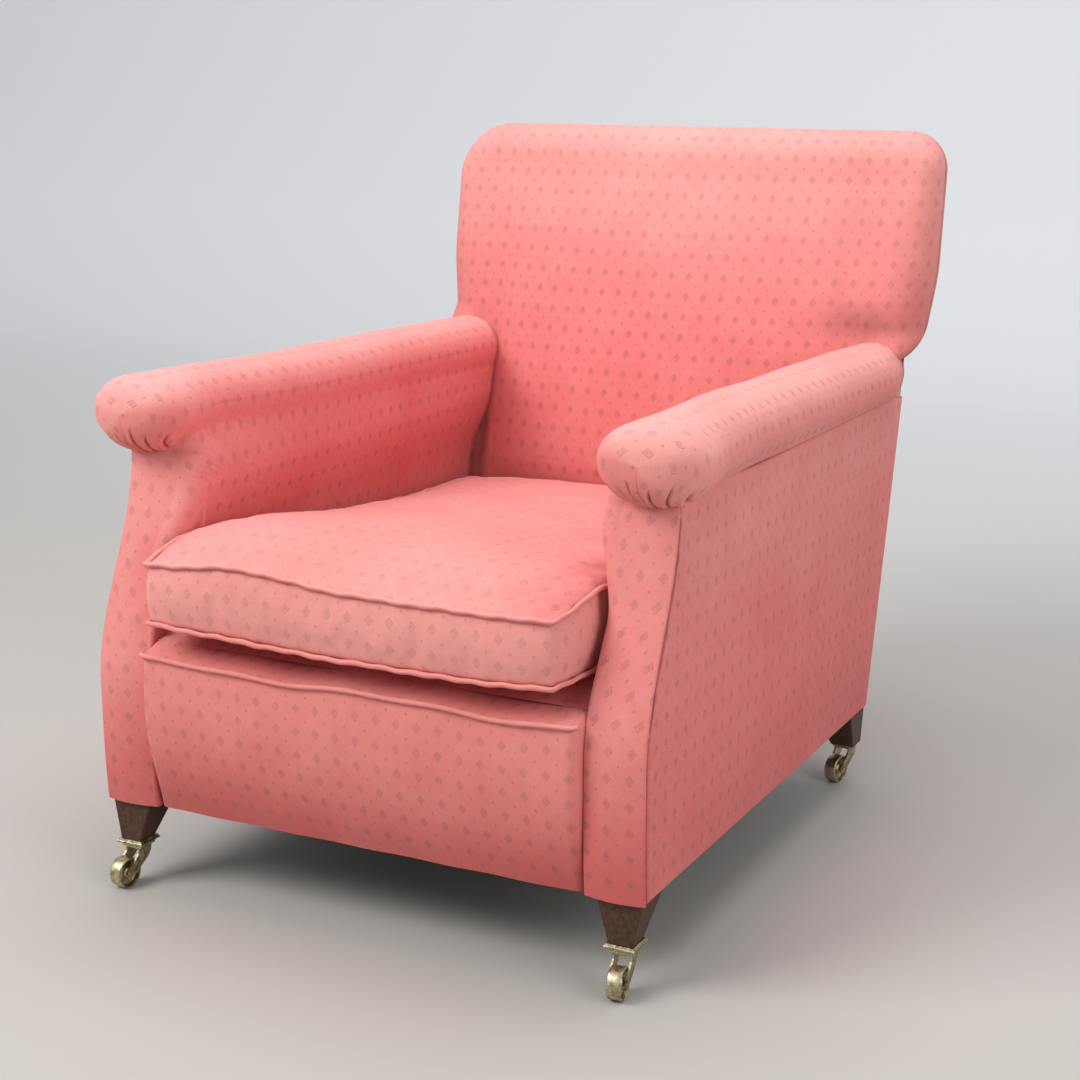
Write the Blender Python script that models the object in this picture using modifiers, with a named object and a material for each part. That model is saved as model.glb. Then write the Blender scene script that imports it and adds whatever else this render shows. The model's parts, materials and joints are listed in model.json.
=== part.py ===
"""Deep armchair with rolled arms and a rolled back, a loose sagging cushion and castors.

The chair faces -Y and stands on z = 0. Left and right are the sitter's, so left is +X.
All lengths are in metres.
"""

import math

import bmesh
import bpy
import numpy as np
from mathutils import Matrix, Vector

GAP = 0.0003                 # clearance between pieces that rest on each other
SLIVER = 0.00003             # corners closer than this are welded after a cut

# The body
HALF_WIDTH = 0.360           # centre to the outside of an arm panel
COVER_THICK = 0.003          # outside cloth on its hessian
BODY_BOTTOM = 0.108          # lower edge of the cloth
BACK_FOOT_Y = 0.269          # outside back at the lower edge of the cloth
BACK_RAKE = 0.262            # how far the outside back leans per metre of height
PIPING_RADIUS = 0.003

# The wooden frame
RAIL_BOTTOM = 0.1125
RAIL_TOP = 0.235
RAIL_THICK = 0.032
FRAME_THICK = 0.0347         # width of the members inside the arms
UPRIGHT_DEPTH = 0.034
UPRIGHT_KNEE = 0.600         # above this height the uprights lean in the rolled back
UPRIGHT_HIGH_INSET = 0.032   # from the side of the back to the outer face above the knee
UPRIGHT_HIGH_THICK = 0.0257
UPRIGHT_HIGH_DEPTH = 0.022
UPRIGHT_KNEE_SHIFT = 0.011   # set back from the straight line at the knee
UPRIGHT_DROP = 0.100         # from the crest of the back to the top of the uprights
TOP_RAIL_HEIGHT = 0.040
TOP_RAIL_DEPTH = 0.024
STUFFING_RAIL_BOTTOM = 0.262
STUFFING_RAIL_TOP = 0.300
STUFFING_RAIL_DEPTH = 0.024
FRONT_RAIL_Y = -0.470        # front of the front rail
POST_REAR_LOW_Y = -0.395     # rear of an arm post beside the side rail
POST_REAR_HIGH_Y = -0.345    # rear of an arm post at the arm rail
ARM_RAIL_HEIGHT = 0.036
WOOD_TOP = 0.535             # top of the arm rails and of the outside arm panels
BLOCK_LEG = 0.060            # short sides of a corner block
BLOCK_HEIGHT = 0.045

# Webbing, springs, hessian and dust cover
WEB_WIDTH = 0.050
WEB_THICK = 0.002
WEB_COLUMNS = 5
WEB_ROWS = 5
SPRING_ROWS = 3
SPRING_SIDE_INSET = 0.113    # from the edge of the seat to the outer springs
SPRING_SPACING_Y = 0.190
SPRING_WIRE = 0.0018         # radius of the wire
SPRING_END_RADIUS = 0.045
SPRING_WAIST_RADIUS = 0.026
SPRING_TURNS = 3
SPRING_POINTS = 7            # points in one turn
SEAT_CENTRE_Y = -0.105
HESSIAN_THICK = 0.002
HESSIAN_FRONT = 0.272        # height of the spring tops at the front
SEAT_FALL = 0.050            # how far the worn seat falls per metre towards the back
HESSIAN_EDGE = 0.024         # width of the slope down to the rails
DUST_THICK = 0.0016
SEAT_FRONT_EDGE = FRONT_RAIL_Y + RAIL_THICK
SEAT_REAR_EDGE = 0.215
SEAT_SIDE_INSET = 0.003      # from the inside of an arm to the edge of the sprung seat

# Arms
ARM_ROLL_INSET = 0.0425      # from the outside panel to the middle of the roll
ARM_ROLL_SPLAY = 0.013       # how far the nose leans outwards
ARM_SPLAY_FROM = -0.15
ARM_ROLL_TAPER = 0.30        # the outer half of the roll narrows by this much at the rear
ARM_TAPER_FROM = 0.31
NOSE_SWELL = 0.007           # the nose is this much wider, each side, than the roll
NOSE_SWELL_FROM = -0.32
ARM_ROLL_HALF_WIDTH = 0.0575
ARM_ROLL_HALF_HEIGHT = 0.048
ARM_TOP_FRONT = 0.622        # crest of the roll above the post
ARM_TOP_FALL = 0.026         # how far the crest falls per metre towards the back
ARM_HIGH_THICK = 0.096       # from the outside panel to the inner face below the roll
ARM_LOW_THICK = 0.074        # and to the inner face beside the cushion
ARM_INNER_FROM = 0.40        # the inner face swells between these two heights
ARM_INNER_TO = 0.50
NOSE_BASE_Y = -0.395         # where the rounding of the nose starts
NOSE_LENGTH = 0.0645
NOSE_LIFT = 0.006
NOSE_BLUNT = 0.75            # below 1 the nose is blunter than an ellipsoid
ARM_END_Y = 0.414            # rearmost point of a roll
ARM_PAST_END = 0.03          # an arm is made this much longer and then cut to the back
ROLL_SIDES = 40
NOSE_RINGS = 10
PLEATS = 5
PLEAT_DEPTH = 0.0065
PLEAT_FROM = 0.004           # distances from the gather between which the pleats deepen
PLEAT_FULL = 0.016
PLEAT_FADE = 0.040           # and between which they run out
PLEAT_END = 0.078
FACING_THICK = 0.010
FACING_LOW_Y = -0.4875
FACING_HIGH_Y = -0.408
FACING_SWEEP_FROM = 0.26     # heights between which the facing sweeps back
FACING_SWEEP_TO = 0.53
FACING_TUCK = 0.004          # the foot of the facing draws back by this much
FACING_TUCK_FROM = 0.20
FACING_SWELL = 0.004
PANEL_EDGE = 0.0015          # from the front of the facing to the sewn edge of the panel

# Front border
BORDER_SIDE_GAP = 0.0015     # between the border and the inside of an arm
BORDER_TOP_Y = -0.505
BORDER_TOP = 0.301
BORDER_BULGE = 0.012
BORDER_FOOT_Y = -0.479
BORDER_SIDE_FALL = 0.010     # the ends of the border fall back against the arms

# Back
BACK_FACE_Y = 0.303          # front face beside the arms, at BACK_FACE_Z
BACK_FACE_Z = 0.378
BACK_FACE_RAKE = 0.273
BACK_CROWN = 0.036           # how far the middle swells forward
BACK_TOP = 0.885
BACK_ROLL_DEPTH = 0.0436     # from the front face to the middle of the top roll
BACK_ROLL_LEAN = 0.14
BACK_OVERHANG = 0.020        # the shoulders are this much wider, each side, than the body
BACK_CORNER_LEFT = 0.055     # radius of the top corner above the left arm
BACK_CORNER_RIGHT = 0.080
BACK_ROLL_REAR = 0.055       # from the middle of the roll to its rearmost line
BACK_ROLL_SPREAD = 0.050     # half the width of the roll seen from behind
PANEL_HIGH_INSET = 0.040     # from the shoulder rolls to the outside back between them
SHOULDER_BOTTOM = 0.578
LAP = 0.012                  # the lower back reaches this far up into the shoulders
LAP_DEPTH = 0.003            # and lies this deep inside them
BACK_WAIST = 0.012           # how far the shoulders draw in towards the arms
BACK_WAIST_FROM = 0.56
BACK_WAIST_TO = 0.70
SHOULDER_TUCK = 0.014        # and how far at the arms themselves
SHOULDER_TUCK_FROM = 0.545
SHOULDER_TUCK_TO = 0.60
CROWN_FROM = 0.30            # heights between which the crown of the back rises
CROWN_TO = 0.42
CROWN_FADE_FROM = 0.60       # and from which it fades towards the top roll
CROWN_FADE_DROP = 0.025
ARM_BOARD_TOP = 0.56         # above this height only the roll of an arm meets the back
ARM_END_SPREAD = 0.40        # the rear ends of the rolls slant by this much
ARM_END_FROM = 0.42          # heights between which the slant comes in
ARM_END_TO = 0.54

# Seat platform
DECK_EDGE = 0.3165           # height behind the border
DECK_FRONT = 0.334           # highest line of the platform
DECK_FRONT_Y = -0.410
DECK_REAR_Y = 0.262

# Cushion
CUSHION_SIDE_GAP = 0.0155    # between the cushion and the inside of an arm
CUSHION_FRONT_Y = -0.519
CUSHION_REAR_Y = 0.266
CUSHION_TOP = 0.4206         # top edge at the front
CUSHION_WALL = 0.0706        # height of the boxing at the front
CUSHION_CROWN = 0.026
CUSHION_RISE = 0.014         # the top edge rises behind the front
CUSHION_RISE_AT = 0.10       # and is highest this far behind it
CUSHION_RISE_END = 0.35
CUSHION_SAG = 0.046          # how far the top edge has sunk at the back
CUSHION_SAG_BELOW = 0.040    # how far the bottom edge has sunk there
CUSHION_SAG_FROM = 0.05
CUSHION_SAG_TO = 0.72
CUSHION_LUMP = 0.012         # swelling of the top edge right of the middle in front
CUSHION_LUMP_X = -0.13
CUSHION_LUMP_REACH = 0.09
CUSHION_LUMP_END = 0.25
CUSHION_HOLLOW = 0.014       # dip near the left arm
CUSHION_HOLLOW_X = 0.19
CUSHION_HOLLOW_Y = -0.12
CUSHION_HOLLOW_ACROSS = 0.07
CUSHION_HOLLOW_ALONG = 0.14
CUSHION_WAVE = 0.004         # the bottom edge waves along the front
CUSHION_WAVE_X = -0.28
CUSHION_WAVE_TURN = 9.0      # radians per metre
CUSHION_WAVE_END = 0.20
CUSHION_EDGE_DROP = 0.003    # the bottom edge hangs this much below the wall
CUSHION_CURL = 0.10          # the underside curls up this far behind the front
CUSHION_REAR_CURL = 0.05

# Legs
LEG_TOP_WIDTH = 0.056
FRONT_LEG_INSET = 0.033      # from the outside panel to the top centre of a front leg
FRONT_FOOT_INSET = 0.0305
REAR_LEG_INSET = 0.031
REAR_FOOT_INSET = 0.030
FRONT_DOWEL_INSET = 0.021
FRONT_LEG_FOOT = 0.030
REAR_LEG_FOOT = 0.033
LEG_CHAMFER = 0.0015
FRONT_LEG_Y = -0.4525
FRONT_FOOT_Y = -0.468
REAR_LEG_Y = 0.2385
REAR_FOOT_Y = 0.2740
DOWEL_RADIUS = 0.008
DOWEL_LENGTH = 0.030

# Castors
WHEEL_RADIUS = 0.019
WHEEL_WIDTH = 0.0165
WHEEL_SIDES = 20
WHEEL_RIM = 0.0030
WHEEL_WEB = 0.0036
HUB_RADIUS = 0.0060
HUB_WIDTH = 0.0130
AXLE_RADIUS = 0.0025
RUNNING_CLEARANCE = 0.0004
CHEEK_CLEARANCE = 0.0008     # between the wheel and a cheek
CHEEK_THICK = 0.0024
TRAIL = 0.025                # from the pin to the axle, seen from above
YOKE_TOP = 0.0470
YOKE_THICK = 0.0028
YOKE_DEPTH = 0.020
SOCKET_TOP = 0.0580          # foot of a front leg
SOCKET_WIDTH = 0.037
PLATE_TOP = 0.0500           # foot of a rear leg
PLATE_WIDTH = 0.029
PIN_RADIUS = 0.0040
PIN_LENGTH = 0.026           # above the yoke
COLLAR_RADIUS = 0.0085       # round seat between the yoke and the plate
FRONT_SWING = math.radians(-7.0)
REAR_SWING = math.radians(11.0)

# Sizes that follow from those above
BACK_HALF_WIDTH = HALF_WIDTH + BACK_OVERHANG
PANEL_HIGH_HALF_WIDTH = BACK_HALF_WIDTH - 2 * BACK_ROLL_SPREAD - PANEL_HIGH_INSET
UPRIGHT_HIGH_X = BACK_HALF_WIDTH - UPRIGHT_HIGH_INSET
UPRIGHT_TOP = BACK_TOP - UPRIGHT_DROP
ARM_ROLL_X = HALF_WIDTH - ARM_ROLL_INSET
ARM_INNER_HIGH = HALF_WIDTH - ARM_HIGH_THICK
ARM_INNER_LOW = HALF_WIDTH - ARM_LOW_THICK
SEAT_SIDE_EDGE = ARM_INNER_LOW - SEAT_SIDE_INSET
SPRING_SPACING_X = SEAT_SIDE_EDGE - SPRING_SIDE_INSET
BORDER_HALF_WIDTH = ARM_INNER_LOW - BORDER_SIDE_GAP
CUSHION_HALF_WIDTH = ARM_INNER_LOW - CUSHION_SIDE_GAP
FRONT_LEG_X = HALF_WIDTH - FRONT_LEG_INSET
FRONT_FOOT_X = HALF_WIDTH - FRONT_FOOT_INSET
REAR_LEG_X = HALF_WIDTH - REAR_LEG_INSET
REAR_FOOT_X = HALF_WIDTH - REAR_FOOT_INSET
FRONT_DOWEL_X = HALF_WIDTH - FRONT_DOWEL_INSET
ARM_END_X = ARM_INNER_HIGH + 0.006   # outside this line the ends of the arms slant

SIDES = {"left": 1, "right": -1}

CLOTH = (0.72, 0.27, 0.25, 1)
BEECH = (0.62, 0.46, 0.30, 1)
STAINED = (0.085, 0.045, 0.028, 1)
BRASS = (0.55, 0.45, 0.24, 1)
JUTE = (0.50, 0.40, 0.26, 1)
STEEL = (0.32, 0.31, 0.30, 1)
BLACK_CLOTH = (0.03, 0.03, 0.032, 1)


def smooth(value, low, high):
    """0 below low, 1 above high, a smooth step between."""
    t = np.clip((value - low) / (high - low), 0.0, 1.0)
    return t * t * (3 - 2 * t)


def clear_scene():
    for obj in list(bpy.data.objects):
        bpy.data.objects.remove(obj, do_unlink=True)


def new_collection(name):
    collection = bpy.data.collections.new(name)
    bpy.context.scene.collection.children.link(collection)
    return collection


def new_material(name, colour, roughness, metallic):
    material = bpy.data.materials.new(name)
    material.use_nodes = True
    shader = material.node_tree.nodes["Principled BSDF"]
    shader.inputs["Base Color"].default_value = colour
    shader.inputs["Roughness"].default_value = roughness
    shader.inputs["Metallic"].default_value = metallic
    material.diffuse_color = colour
    return material


clear_scene()
PARTS = new_collection("sagging_armchair")
CUTTERS = new_collection("cutters")


def finish(name, mesh, look, crease=40.0):
    """Give a mesh its object, its own material and its shading."""
    colour, roughness, metallic = look
    mesh.name = name
    mesh.materials.clear()
    mesh.materials.append(new_material(name, colour, roughness, metallic))
    mesh.shade_smooth()
    mesh.set_sharp_from_angle(angle=math.radians(crease))
    obj = bpy.data.objects.new(name, mesh)
    PARTS.objects.link(obj)
    return obj


CLOTH_LOOK = (CLOTH, 0.85, 0.0)
BEECH_LOOK = (BEECH, 0.65, 0.0)
STAINED_LOOK = (STAINED, 0.45, 0.0)
BRASS_LOOK = (BRASS, 0.35, 1.0)
JUTE_LOOK = (JUTE, 0.95, 0.0)
STEEL_LOOK = (STEEL, 0.40, 1.0)
DUST_LOOK = (BLACK_CLOTH, 0.95, 0.0)


def mesh_from(points, faces):
    mesh = bpy.data.meshes.new("piece")
    mesh.from_pydata([tuple(float(c) for c in p) for p in points], [], faces)
    shape = bmesh.new()
    shape.from_mesh(mesh)
    bmesh.ops.remove_doubles(shape, verts=shape.verts, dist=1e-6)
    bmesh.ops.dissolve_degenerate(shape, dist=1e-7, edges=shape.edges)
    bmesh.ops.recalc_face_normals(shape, faces=shape.faces)
    shape.to_mesh(mesh)
    shape.free()
    return mesh


def halves(a, b, c, d):
    """Two triangles of a quad, always split along the same diagonal."""
    return [(a, b, c), (a, c, d)]


def two_sheets(us, vs, near, far):
    """Closed mesh between two grid surfaces near(u, v) and far(u, v) with their rims joined."""
    columns = len(us)
    rows = len(vs)
    points = [near(u, v) for v in vs for u in us] + [far(u, v) for v in vs for u in us]
    other = columns * rows
    faces = []
    for j in range(rows - 1):
        for i in range(columns - 1):
            a = j * columns + i
            for corners in halves(a, a + 1, a + 1 + columns, a + columns):
                faces.append(corners)
                faces.append(tuple(other + k for k in reversed(corners)))
    rim = [i for i in range(columns)]
    rim += [j * columns + columns - 1 for j in range(1, rows)]
    rim += [(rows - 1) * columns + i for i in range(columns - 2, -1, -1)]
    rim += [j * columns for j in range(rows - 2, 0, -1)]
    for a, b in zip(rim, rim[1:] + rim[:1]):
        faces.append((b, a, other + a, other + b))
    return mesh_from(points, faces)


def slab(points, faces, thick):
    """Closed sheet of even thickness, measured upright, about the given faces."""
    other = len(points)
    lower = [(x, y, z - thick / 2) for x, y, z in points]
    upper = [(x, y, z + thick / 2) for x, y, z in points]
    solid = [tuple(reversed(face)) for face in faces]
    solid += [tuple(other + k for k in face) for face in faces]
    sides = set()
    for face in faces:
        for a, b in zip(face, face[1:] + face[:1]):
            if (b, a) in sides:
                sides.remove((b, a))
            else:
                sides.add((a, b))
    solid += [(a, b, other + b, other + a) for a, b in sorted(sides)]
    return mesh_from(lower + upper, solid)


def rings(loops):
    """Closed mesh through a row of point loops of equal length."""
    size = len(loops[0])
    points = [p for loop in loops for p in loop]
    faces = []
    for k in range(len(loops) - 1):
        for i in range(size):
            a = k * size + i
            b = k * size + (i + 1) % size
            faces.append((a, b, b + size, a + size))
    faces.append(tuple(reversed(range(size))))
    faces.append(tuple((len(loops) - 1) * size + i for i in range(size)))
    return mesh_from(points, faces)


def box_mesh(low, high):
    shape = bmesh.new()
    size = Vector(high) - Vector(low)
    middle = (Vector(high) + Vector(low)) / 2
    matrix = Matrix.Translation(middle) @ Matrix.Diagonal((*size, 1))
    bmesh.ops.create_cube(shape, size=1, matrix=matrix)
    mesh = bpy.data.meshes.new("box")
    shape.to_mesh(mesh)
    shape.free()
    return mesh


def cylinder_mesh(radius, low, high, sides, matrix=None):
    """Cylinder along Z from low to high, then placed by the matrix."""
    shape = bmesh.new()
    place = Matrix.Translation((0, 0, (low + high) / 2))
    if matrix is not None:
        place = matrix @ place
    bmesh.ops.create_cone(shape, cap_ends=True, segments=sides, radius1=radius,
                          radius2=radius, depth=high - low, matrix=place)
    mesh = bpy.data.meshes.new("cylinder")
    shape.to_mesh(mesh)
    shape.free()
    return mesh


def curve_to_mesh(curve):
    """Mesh of a curve with its caps welded."""
    holder = bpy.data.objects.new("outline", curve)
    bpy.context.scene.collection.objects.link(holder)
    graph = bpy.context.evaluated_depsgraph_get()
    mesh = bpy.data.meshes.new_from_object(holder.evaluated_get(graph))
    bpy.data.objects.remove(holder, do_unlink=True)
    shape = bmesh.new()
    shape.from_mesh(mesh)
    bmesh.ops.remove_doubles(shape, verts=shape.verts, dist=1e-6)
    bmesh.ops.recalc_face_normals(shape, faces=shape.faces)
    shape.to_mesh(mesh)
    shape.free()
    return mesh


def plate_mesh(outline, low, high):
    """Flat plate from a (y, z) outline, reaching from x = low to x = high."""
    curve = bpy.data.curves.new("outline", "CURVE")
    curve.dimensions = "2D"
    curve.fill_mode = "BOTH"
    curve.extrude = (high - low) / 2
    spline = curve.splines.new("POLY")
    spline.points.add(len(outline) - 1)
    for point, (y, z) in zip(spline.points, outline):
        point.co = (y, z, 0, 1)
    spline.use_cyclic_u = True
    mesh = curve_to_mesh(curve)
    turn = Matrix(((0, 0, 1, (low + high) / 2), (1, 0, 0, 0), (0, 1, 0, 0), (0, 0, 0, 1)))
    mesh.transform(turn)
    return mesh


def cord_mesh(points, radius, closed, resolution):
    curve = bpy.data.curves.new("cord", "CURVE")
    curve.dimensions = "3D"
    curve.bevel_depth = radius
    curve.bevel_resolution = resolution
    curve.use_fill_caps = not closed
    spline = curve.splines.new("POLY")
    spline.points.add(len(points) - 1)
    for point, place in zip(spline.points, points):
        point.co = (*[float(c) for c in place], 1)
    spline.use_cyclic_u = closed
    return curve_to_mesh(curve)


def add_boolean(obj, mesh, operation):
    """Join or cut an object with a mesh that is kept as a hidden guide."""
    tool = bpy.data.objects.new(obj.name + "_tool", mesh)
    CUTTERS.objects.link(tool)
    tool.hide_render = True
    tool.display_type = "WIRE"
    modifier = obj.modifiers.new(operation.lower(), "BOOLEAN")
    modifier.operation = operation
    modifier.solver = "EXACT"
    modifier.object = tool
    tool.matrix_world = obj.matrix_world


def combined(mesh, tool, operation):
    """Mesh that results from joining or cutting one mesh with another."""
    holder = bpy.data.objects.new("blank", mesh)
    bpy.context.scene.collection.objects.link(holder)
    add_boolean(holder, tool, operation)
    graph = bpy.context.evaluated_depsgraph_get()
    result = bpy.data.meshes.new_from_object(holder.evaluated_get(graph))
    bpy.data.objects.remove(holder.modifiers[0].object, do_unlink=True)
    bpy.data.objects.remove(holder, do_unlink=True)
    shape = bmesh.new()
    shape.from_mesh(result)
    bmesh.ops.remove_doubles(shape, verts=shape.verts, dist=SLIVER)
    bmesh.ops.dissolve_degenerate(shape, dist=SLIVER, edges=shape.edges)
    rim = [edge for edge in shape.edges if edge.is_boundary]
    if rim:
        bmesh.ops.contextual_create(shape, geom=rim)
        bmesh.ops.recalc_face_normals(shape, faces=shape.faces)
    bmesh.ops.triangulate(shape, faces=shape.faces)
    shape.to_mesh(result)
    shape.free()
    return result


# Shared lines of the body

def panel_y(z):
    """Outer face of the outside back."""
    return BACK_FOOT_Y + BACK_RAKE * (z - BODY_BOTTOM)


def frame_rear_y(z):
    """Rear of the wooden back frame, just inside the outside back."""
    return panel_y(z) - COVER_THICK - GAP


def facing_y(z):
    """S-shaped front of an arm: upright above, sweeping forward, drawn back at the foot."""
    sweep = smooth(z, FACING_SWEEP_FROM, FACING_SWEEP_TO)
    foot = np.clip((FACING_TUCK_FROM - z) / (FACING_TUCK_FROM - BODY_BOTTOM), 0, 1)
    return FACING_LOW_Y + (FACING_HIGH_Y - FACING_LOW_Y) * sweep + FACING_TUCK * foot ** 2


SWEEP_HEIGHTS = [float(z) for z in np.linspace(BODY_BOTTOM, WOOD_TOP, 13)]


def sweep_heights(low, high):
    """Heights shared by everything that follows the sweep, so that their flats agree."""
    return [low] + [z for z in SWEEP_HEIGHTS if low + 0.003 < z < high - 0.003] + [high]


def arm_inner_x(z):
    return ARM_INNER_LOW + (ARM_INNER_HIGH - ARM_INNER_LOW) * smooth(z, ARM_INNER_FROM, ARM_INNER_TO)


def arm_top(y):
    return ARM_TOP_FRONT - ARM_TOP_FALL * (y - POST_REAR_HIGH_Y)


def back_face_y(z):
    """Front face of the back beside the arms."""
    return BACK_FACE_Y + BACK_FACE_RAKE * (z - BACK_FACE_Z)


def arm_end_y(x, z):
    """Rear end of an arm, slanting backwards outside."""
    outside = max(0, abs(x) - ARM_END_X)
    return back_face_y(z) + ARM_END_SPREAD * outside * smooth(z, ARM_END_FROM, ARM_END_TO)


def frame_inner_x():
    return HALF_WIDTH - COVER_THICK - GAP - FRAME_THICK


def frame_outer_x():
    return HALF_WIDTH - COVER_THICK - GAP


# The wooden frame

def side_span(side):
    """x from low to high of the members inside an arm."""
    return sorted((side * frame_inner_x(), side * frame_outer_x()))


def upright_section(z):
    """Inner x, outer x, front y and rear y of a back upright, which is set back above."""
    above = np.clip((z - WOOD_TOP) / (UPRIGHT_KNEE - WOOD_TOP), 0, 1)
    outer = frame_outer_x() + (UPRIGHT_HIGH_X - frame_outer_x()) * above
    inner_high = UPRIGHT_HIGH_X - UPRIGHT_HIGH_THICK
    inner = frame_inner_x() + (inner_high - frame_inner_x()) * above
    rear = frame_rear_y(z) + UPRIGHT_KNEE_SHIFT * above
    depth = UPRIGHT_DEPTH + (UPRIGHT_HIGH_DEPTH - UPRIGHT_DEPTH) * above
    return float(inner), float(outer), float(rear - depth), float(rear)


def upright_front_y(z):
    return upright_section(z)[2]


def upright_mesh(side, margin=0.0):
    """A back upright, or with a margin the room that it needs."""
    loops = []
    for z in (RAIL_BOTTOM - margin, WOOD_TOP, UPRIGHT_KNEE, UPRIGHT_TOP + margin):
        inner, outer, front, rear = upright_section(z)
        inner -= margin / 2
        loops.append([(side * x, y, z) for x, y in
                      ((inner, front - margin), (outer + margin, front - margin),
                       (outer + margin, rear + margin), (inner, rear + margin))])
    return rings(loops)


def post_outline():
    """(y, z) outline of an arm post, its front sawn to the sweep of the facing."""
    heights = sweep_heights(RAIL_BOTTOM, WOOD_TOP)
    front = [(facing_y(z) + FACING_THICK + GAP, z) for z in heights]
    shoulder = RAIL_TOP + 0.06
    rear = [(POST_REAR_HIGH_Y, WOOD_TOP), (POST_REAR_HIGH_Y, WOOD_TOP - ARM_RAIL_HEIGHT)]
    rear += [(POST_REAR_LOW_Y, shoulder), (POST_REAR_LOW_Y, RAIL_BOTTOM)]
    return [(float(y), float(z)) for y, z in front + rear]


def build_frame():
    inner = frame_inner_x()
    low, high = (-inner + GAP, -1), (inner - GAP, 1)
    front = box_mesh((low[0], FRONT_RAIL_Y, RAIL_BOTTOM),
                     (high[0], FRONT_RAIL_Y + RAIL_THICK, RAIL_TOP))
    finish("front_rail", front, BEECH_LOOK)

    def raked(bottom, top, depth, inset=0.0):
        rear_low = frame_rear_y(bottom) - inset
        rear_high = frame_rear_y(top) - inset
        return [(rear_low - depth, bottom), (rear_low, bottom),
                (rear_high, top), (rear_high - depth, top)]

    back = plate_mesh(raked(RAIL_BOTTOM, RAIL_TOP, RAIL_THICK), low[0], high[0])
    finish("back_rail", back, BEECH_LOOK)
    stuffing = raked(STUFFING_RAIL_BOTTOM, STUFFING_RAIL_TOP, STUFFING_RAIL_DEPTH)
    finish("stuffing_rail", plate_mesh(stuffing, low[0], high[0]), BEECH_LOOK)
    top = raked(UPRIGHT_TOP - TOP_RAIL_HEIGHT, UPRIGHT_TOP, TOP_RAIL_DEPTH)
    end = upright_section(UPRIGHT_TOP)[0] - GAP
    finish("top_rail", plate_mesh(top, -end, end), BEECH_LOOK)

    for word, side in SIDES.items():
        x_low, x_high = side_span(side)
        post = plate_mesh(post_outline(), x_low, x_high)
        post = finish("arm_post_" + word, post, BEECH_LOOK)
        place = Matrix.Translation((side * FRONT_DOWEL_X, FRONT_LEG_Y, 0))
        bore = cylinder_mesh(DOWEL_RADIUS + GAP, RAIL_BOTTOM - 0.01,
                             RAIL_BOTTOM + DOWEL_LENGTH + 0.001, 12, place)
        add_boolean(post, bore, "DIFFERENCE")
        finish("back_upright_" + word, upright_mesh(side), BEECH_LOOK)
        ends = [(POST_REAR_LOW_Y + GAP, RAIL_BOTTOM),
                (upright_front_y(RAIL_BOTTOM) - GAP, RAIL_BOTTOM),
                (upright_front_y(RAIL_TOP) - GAP, RAIL_TOP),
                (POST_REAR_LOW_Y + GAP, RAIL_TOP)]
        finish("side_rail_" + word, plate_mesh(ends, x_low, x_high), BEECH_LOOK)
        foot = WOOD_TOP - ARM_RAIL_HEIGHT
        ends = [(POST_REAR_HIGH_Y + GAP, foot), (upright_front_y(foot) - GAP, foot),
                (upright_front_y(WOOD_TOP) - GAP, WOOD_TOP), (POST_REAR_HIGH_Y + GAP, WOOD_TOP)]
        finish("arm_rail_" + word, plate_mesh(ends, x_low, x_high), BEECH_LOOK)


def build_blocks():
    """Glued corner blocks, cut off square at their two tips."""
    tip = 0.008
    low = RAIL_BOTTOM + 0.012
    high = low + BLOCK_HEIGHT
    for word, side in SIDES.items():
        corners = {"front": (FRONT_RAIL_Y + RAIL_THICK + GAP, 1),
                   "rear": (frame_rear_y(low) - RAIL_THICK - GAP, -1)}
        for place, (y, forward) in corners.items():
            x = frame_inner_x() - GAP
            outline = [(x, 0), (x, BLOCK_LEG), (x - tip, BLOCK_LEG), (x - BLOCK_LEG, tip),
                       (x - BLOCK_LEG, 0)]
            loops = []
            for z in (low, high):
                shift = 0.0 if place == "front" else frame_rear_y(z) - frame_rear_y(low)
                loop = []
                for px, depth in outline:
                    against = shift if depth == 0 else 0.0
                    loop.append((side * px, y + forward * depth + against, z))
                loops.append(loop)
            finish("corner_block_%s_%s" % (place, word), rings(loops), BEECH_LOOK)


def build_panels():
    """Outside arm panels and the outside back."""
    front = [(float(facing_y(z)) + PANEL_EDGE, z) for z in SWEEP_HEIGHTS]
    rear = [(panel_y(WOOD_TOP), WOOD_TOP), (panel_y(BODY_BOTTOM), BODY_BOTTOM)]
    for word, side in SIDES.items():
        low, high = sorted((side * (HALF_WIDTH - COVER_THICK), side * HALF_WIDTH))
        finish("outside_arm_" + word, plate_mesh(front + rear, low, high), CLOTH_LOOK)

    wide = HALF_WIDTH - COVER_THICK - GAP
    shoulder = WOOD_TOP
    outline = [(-wide, BODY_BOTTOM), (wide, BODY_BOTTOM), (wide, shoulder)]
    narrow = PANEL_HIGH_HALF_WIDTH
    top = BACK_TOP - 2 * BACK_ROLL_SPREAD - 0.012
    radius = 0.04
    outline += [(narrow, shoulder)]
    for k in range(5):
        angle = math.radians(90 * k / 4)
        outline.append((narrow - radius + radius * math.cos(angle),
                        top - radius + radius * math.sin(angle)))
    outline += [(-x, z) for x, z in reversed(outline[3:])] + [(-wide, shoulder)]
    loops = []
    for inset in (COVER_THICK, 0.0):
        loops.append([(x, panel_y(z) - inset, z) for x, z in outline])
    finish("outside_back", rings(loops), CLOTH_LOOK)


# Seat suspension

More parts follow.
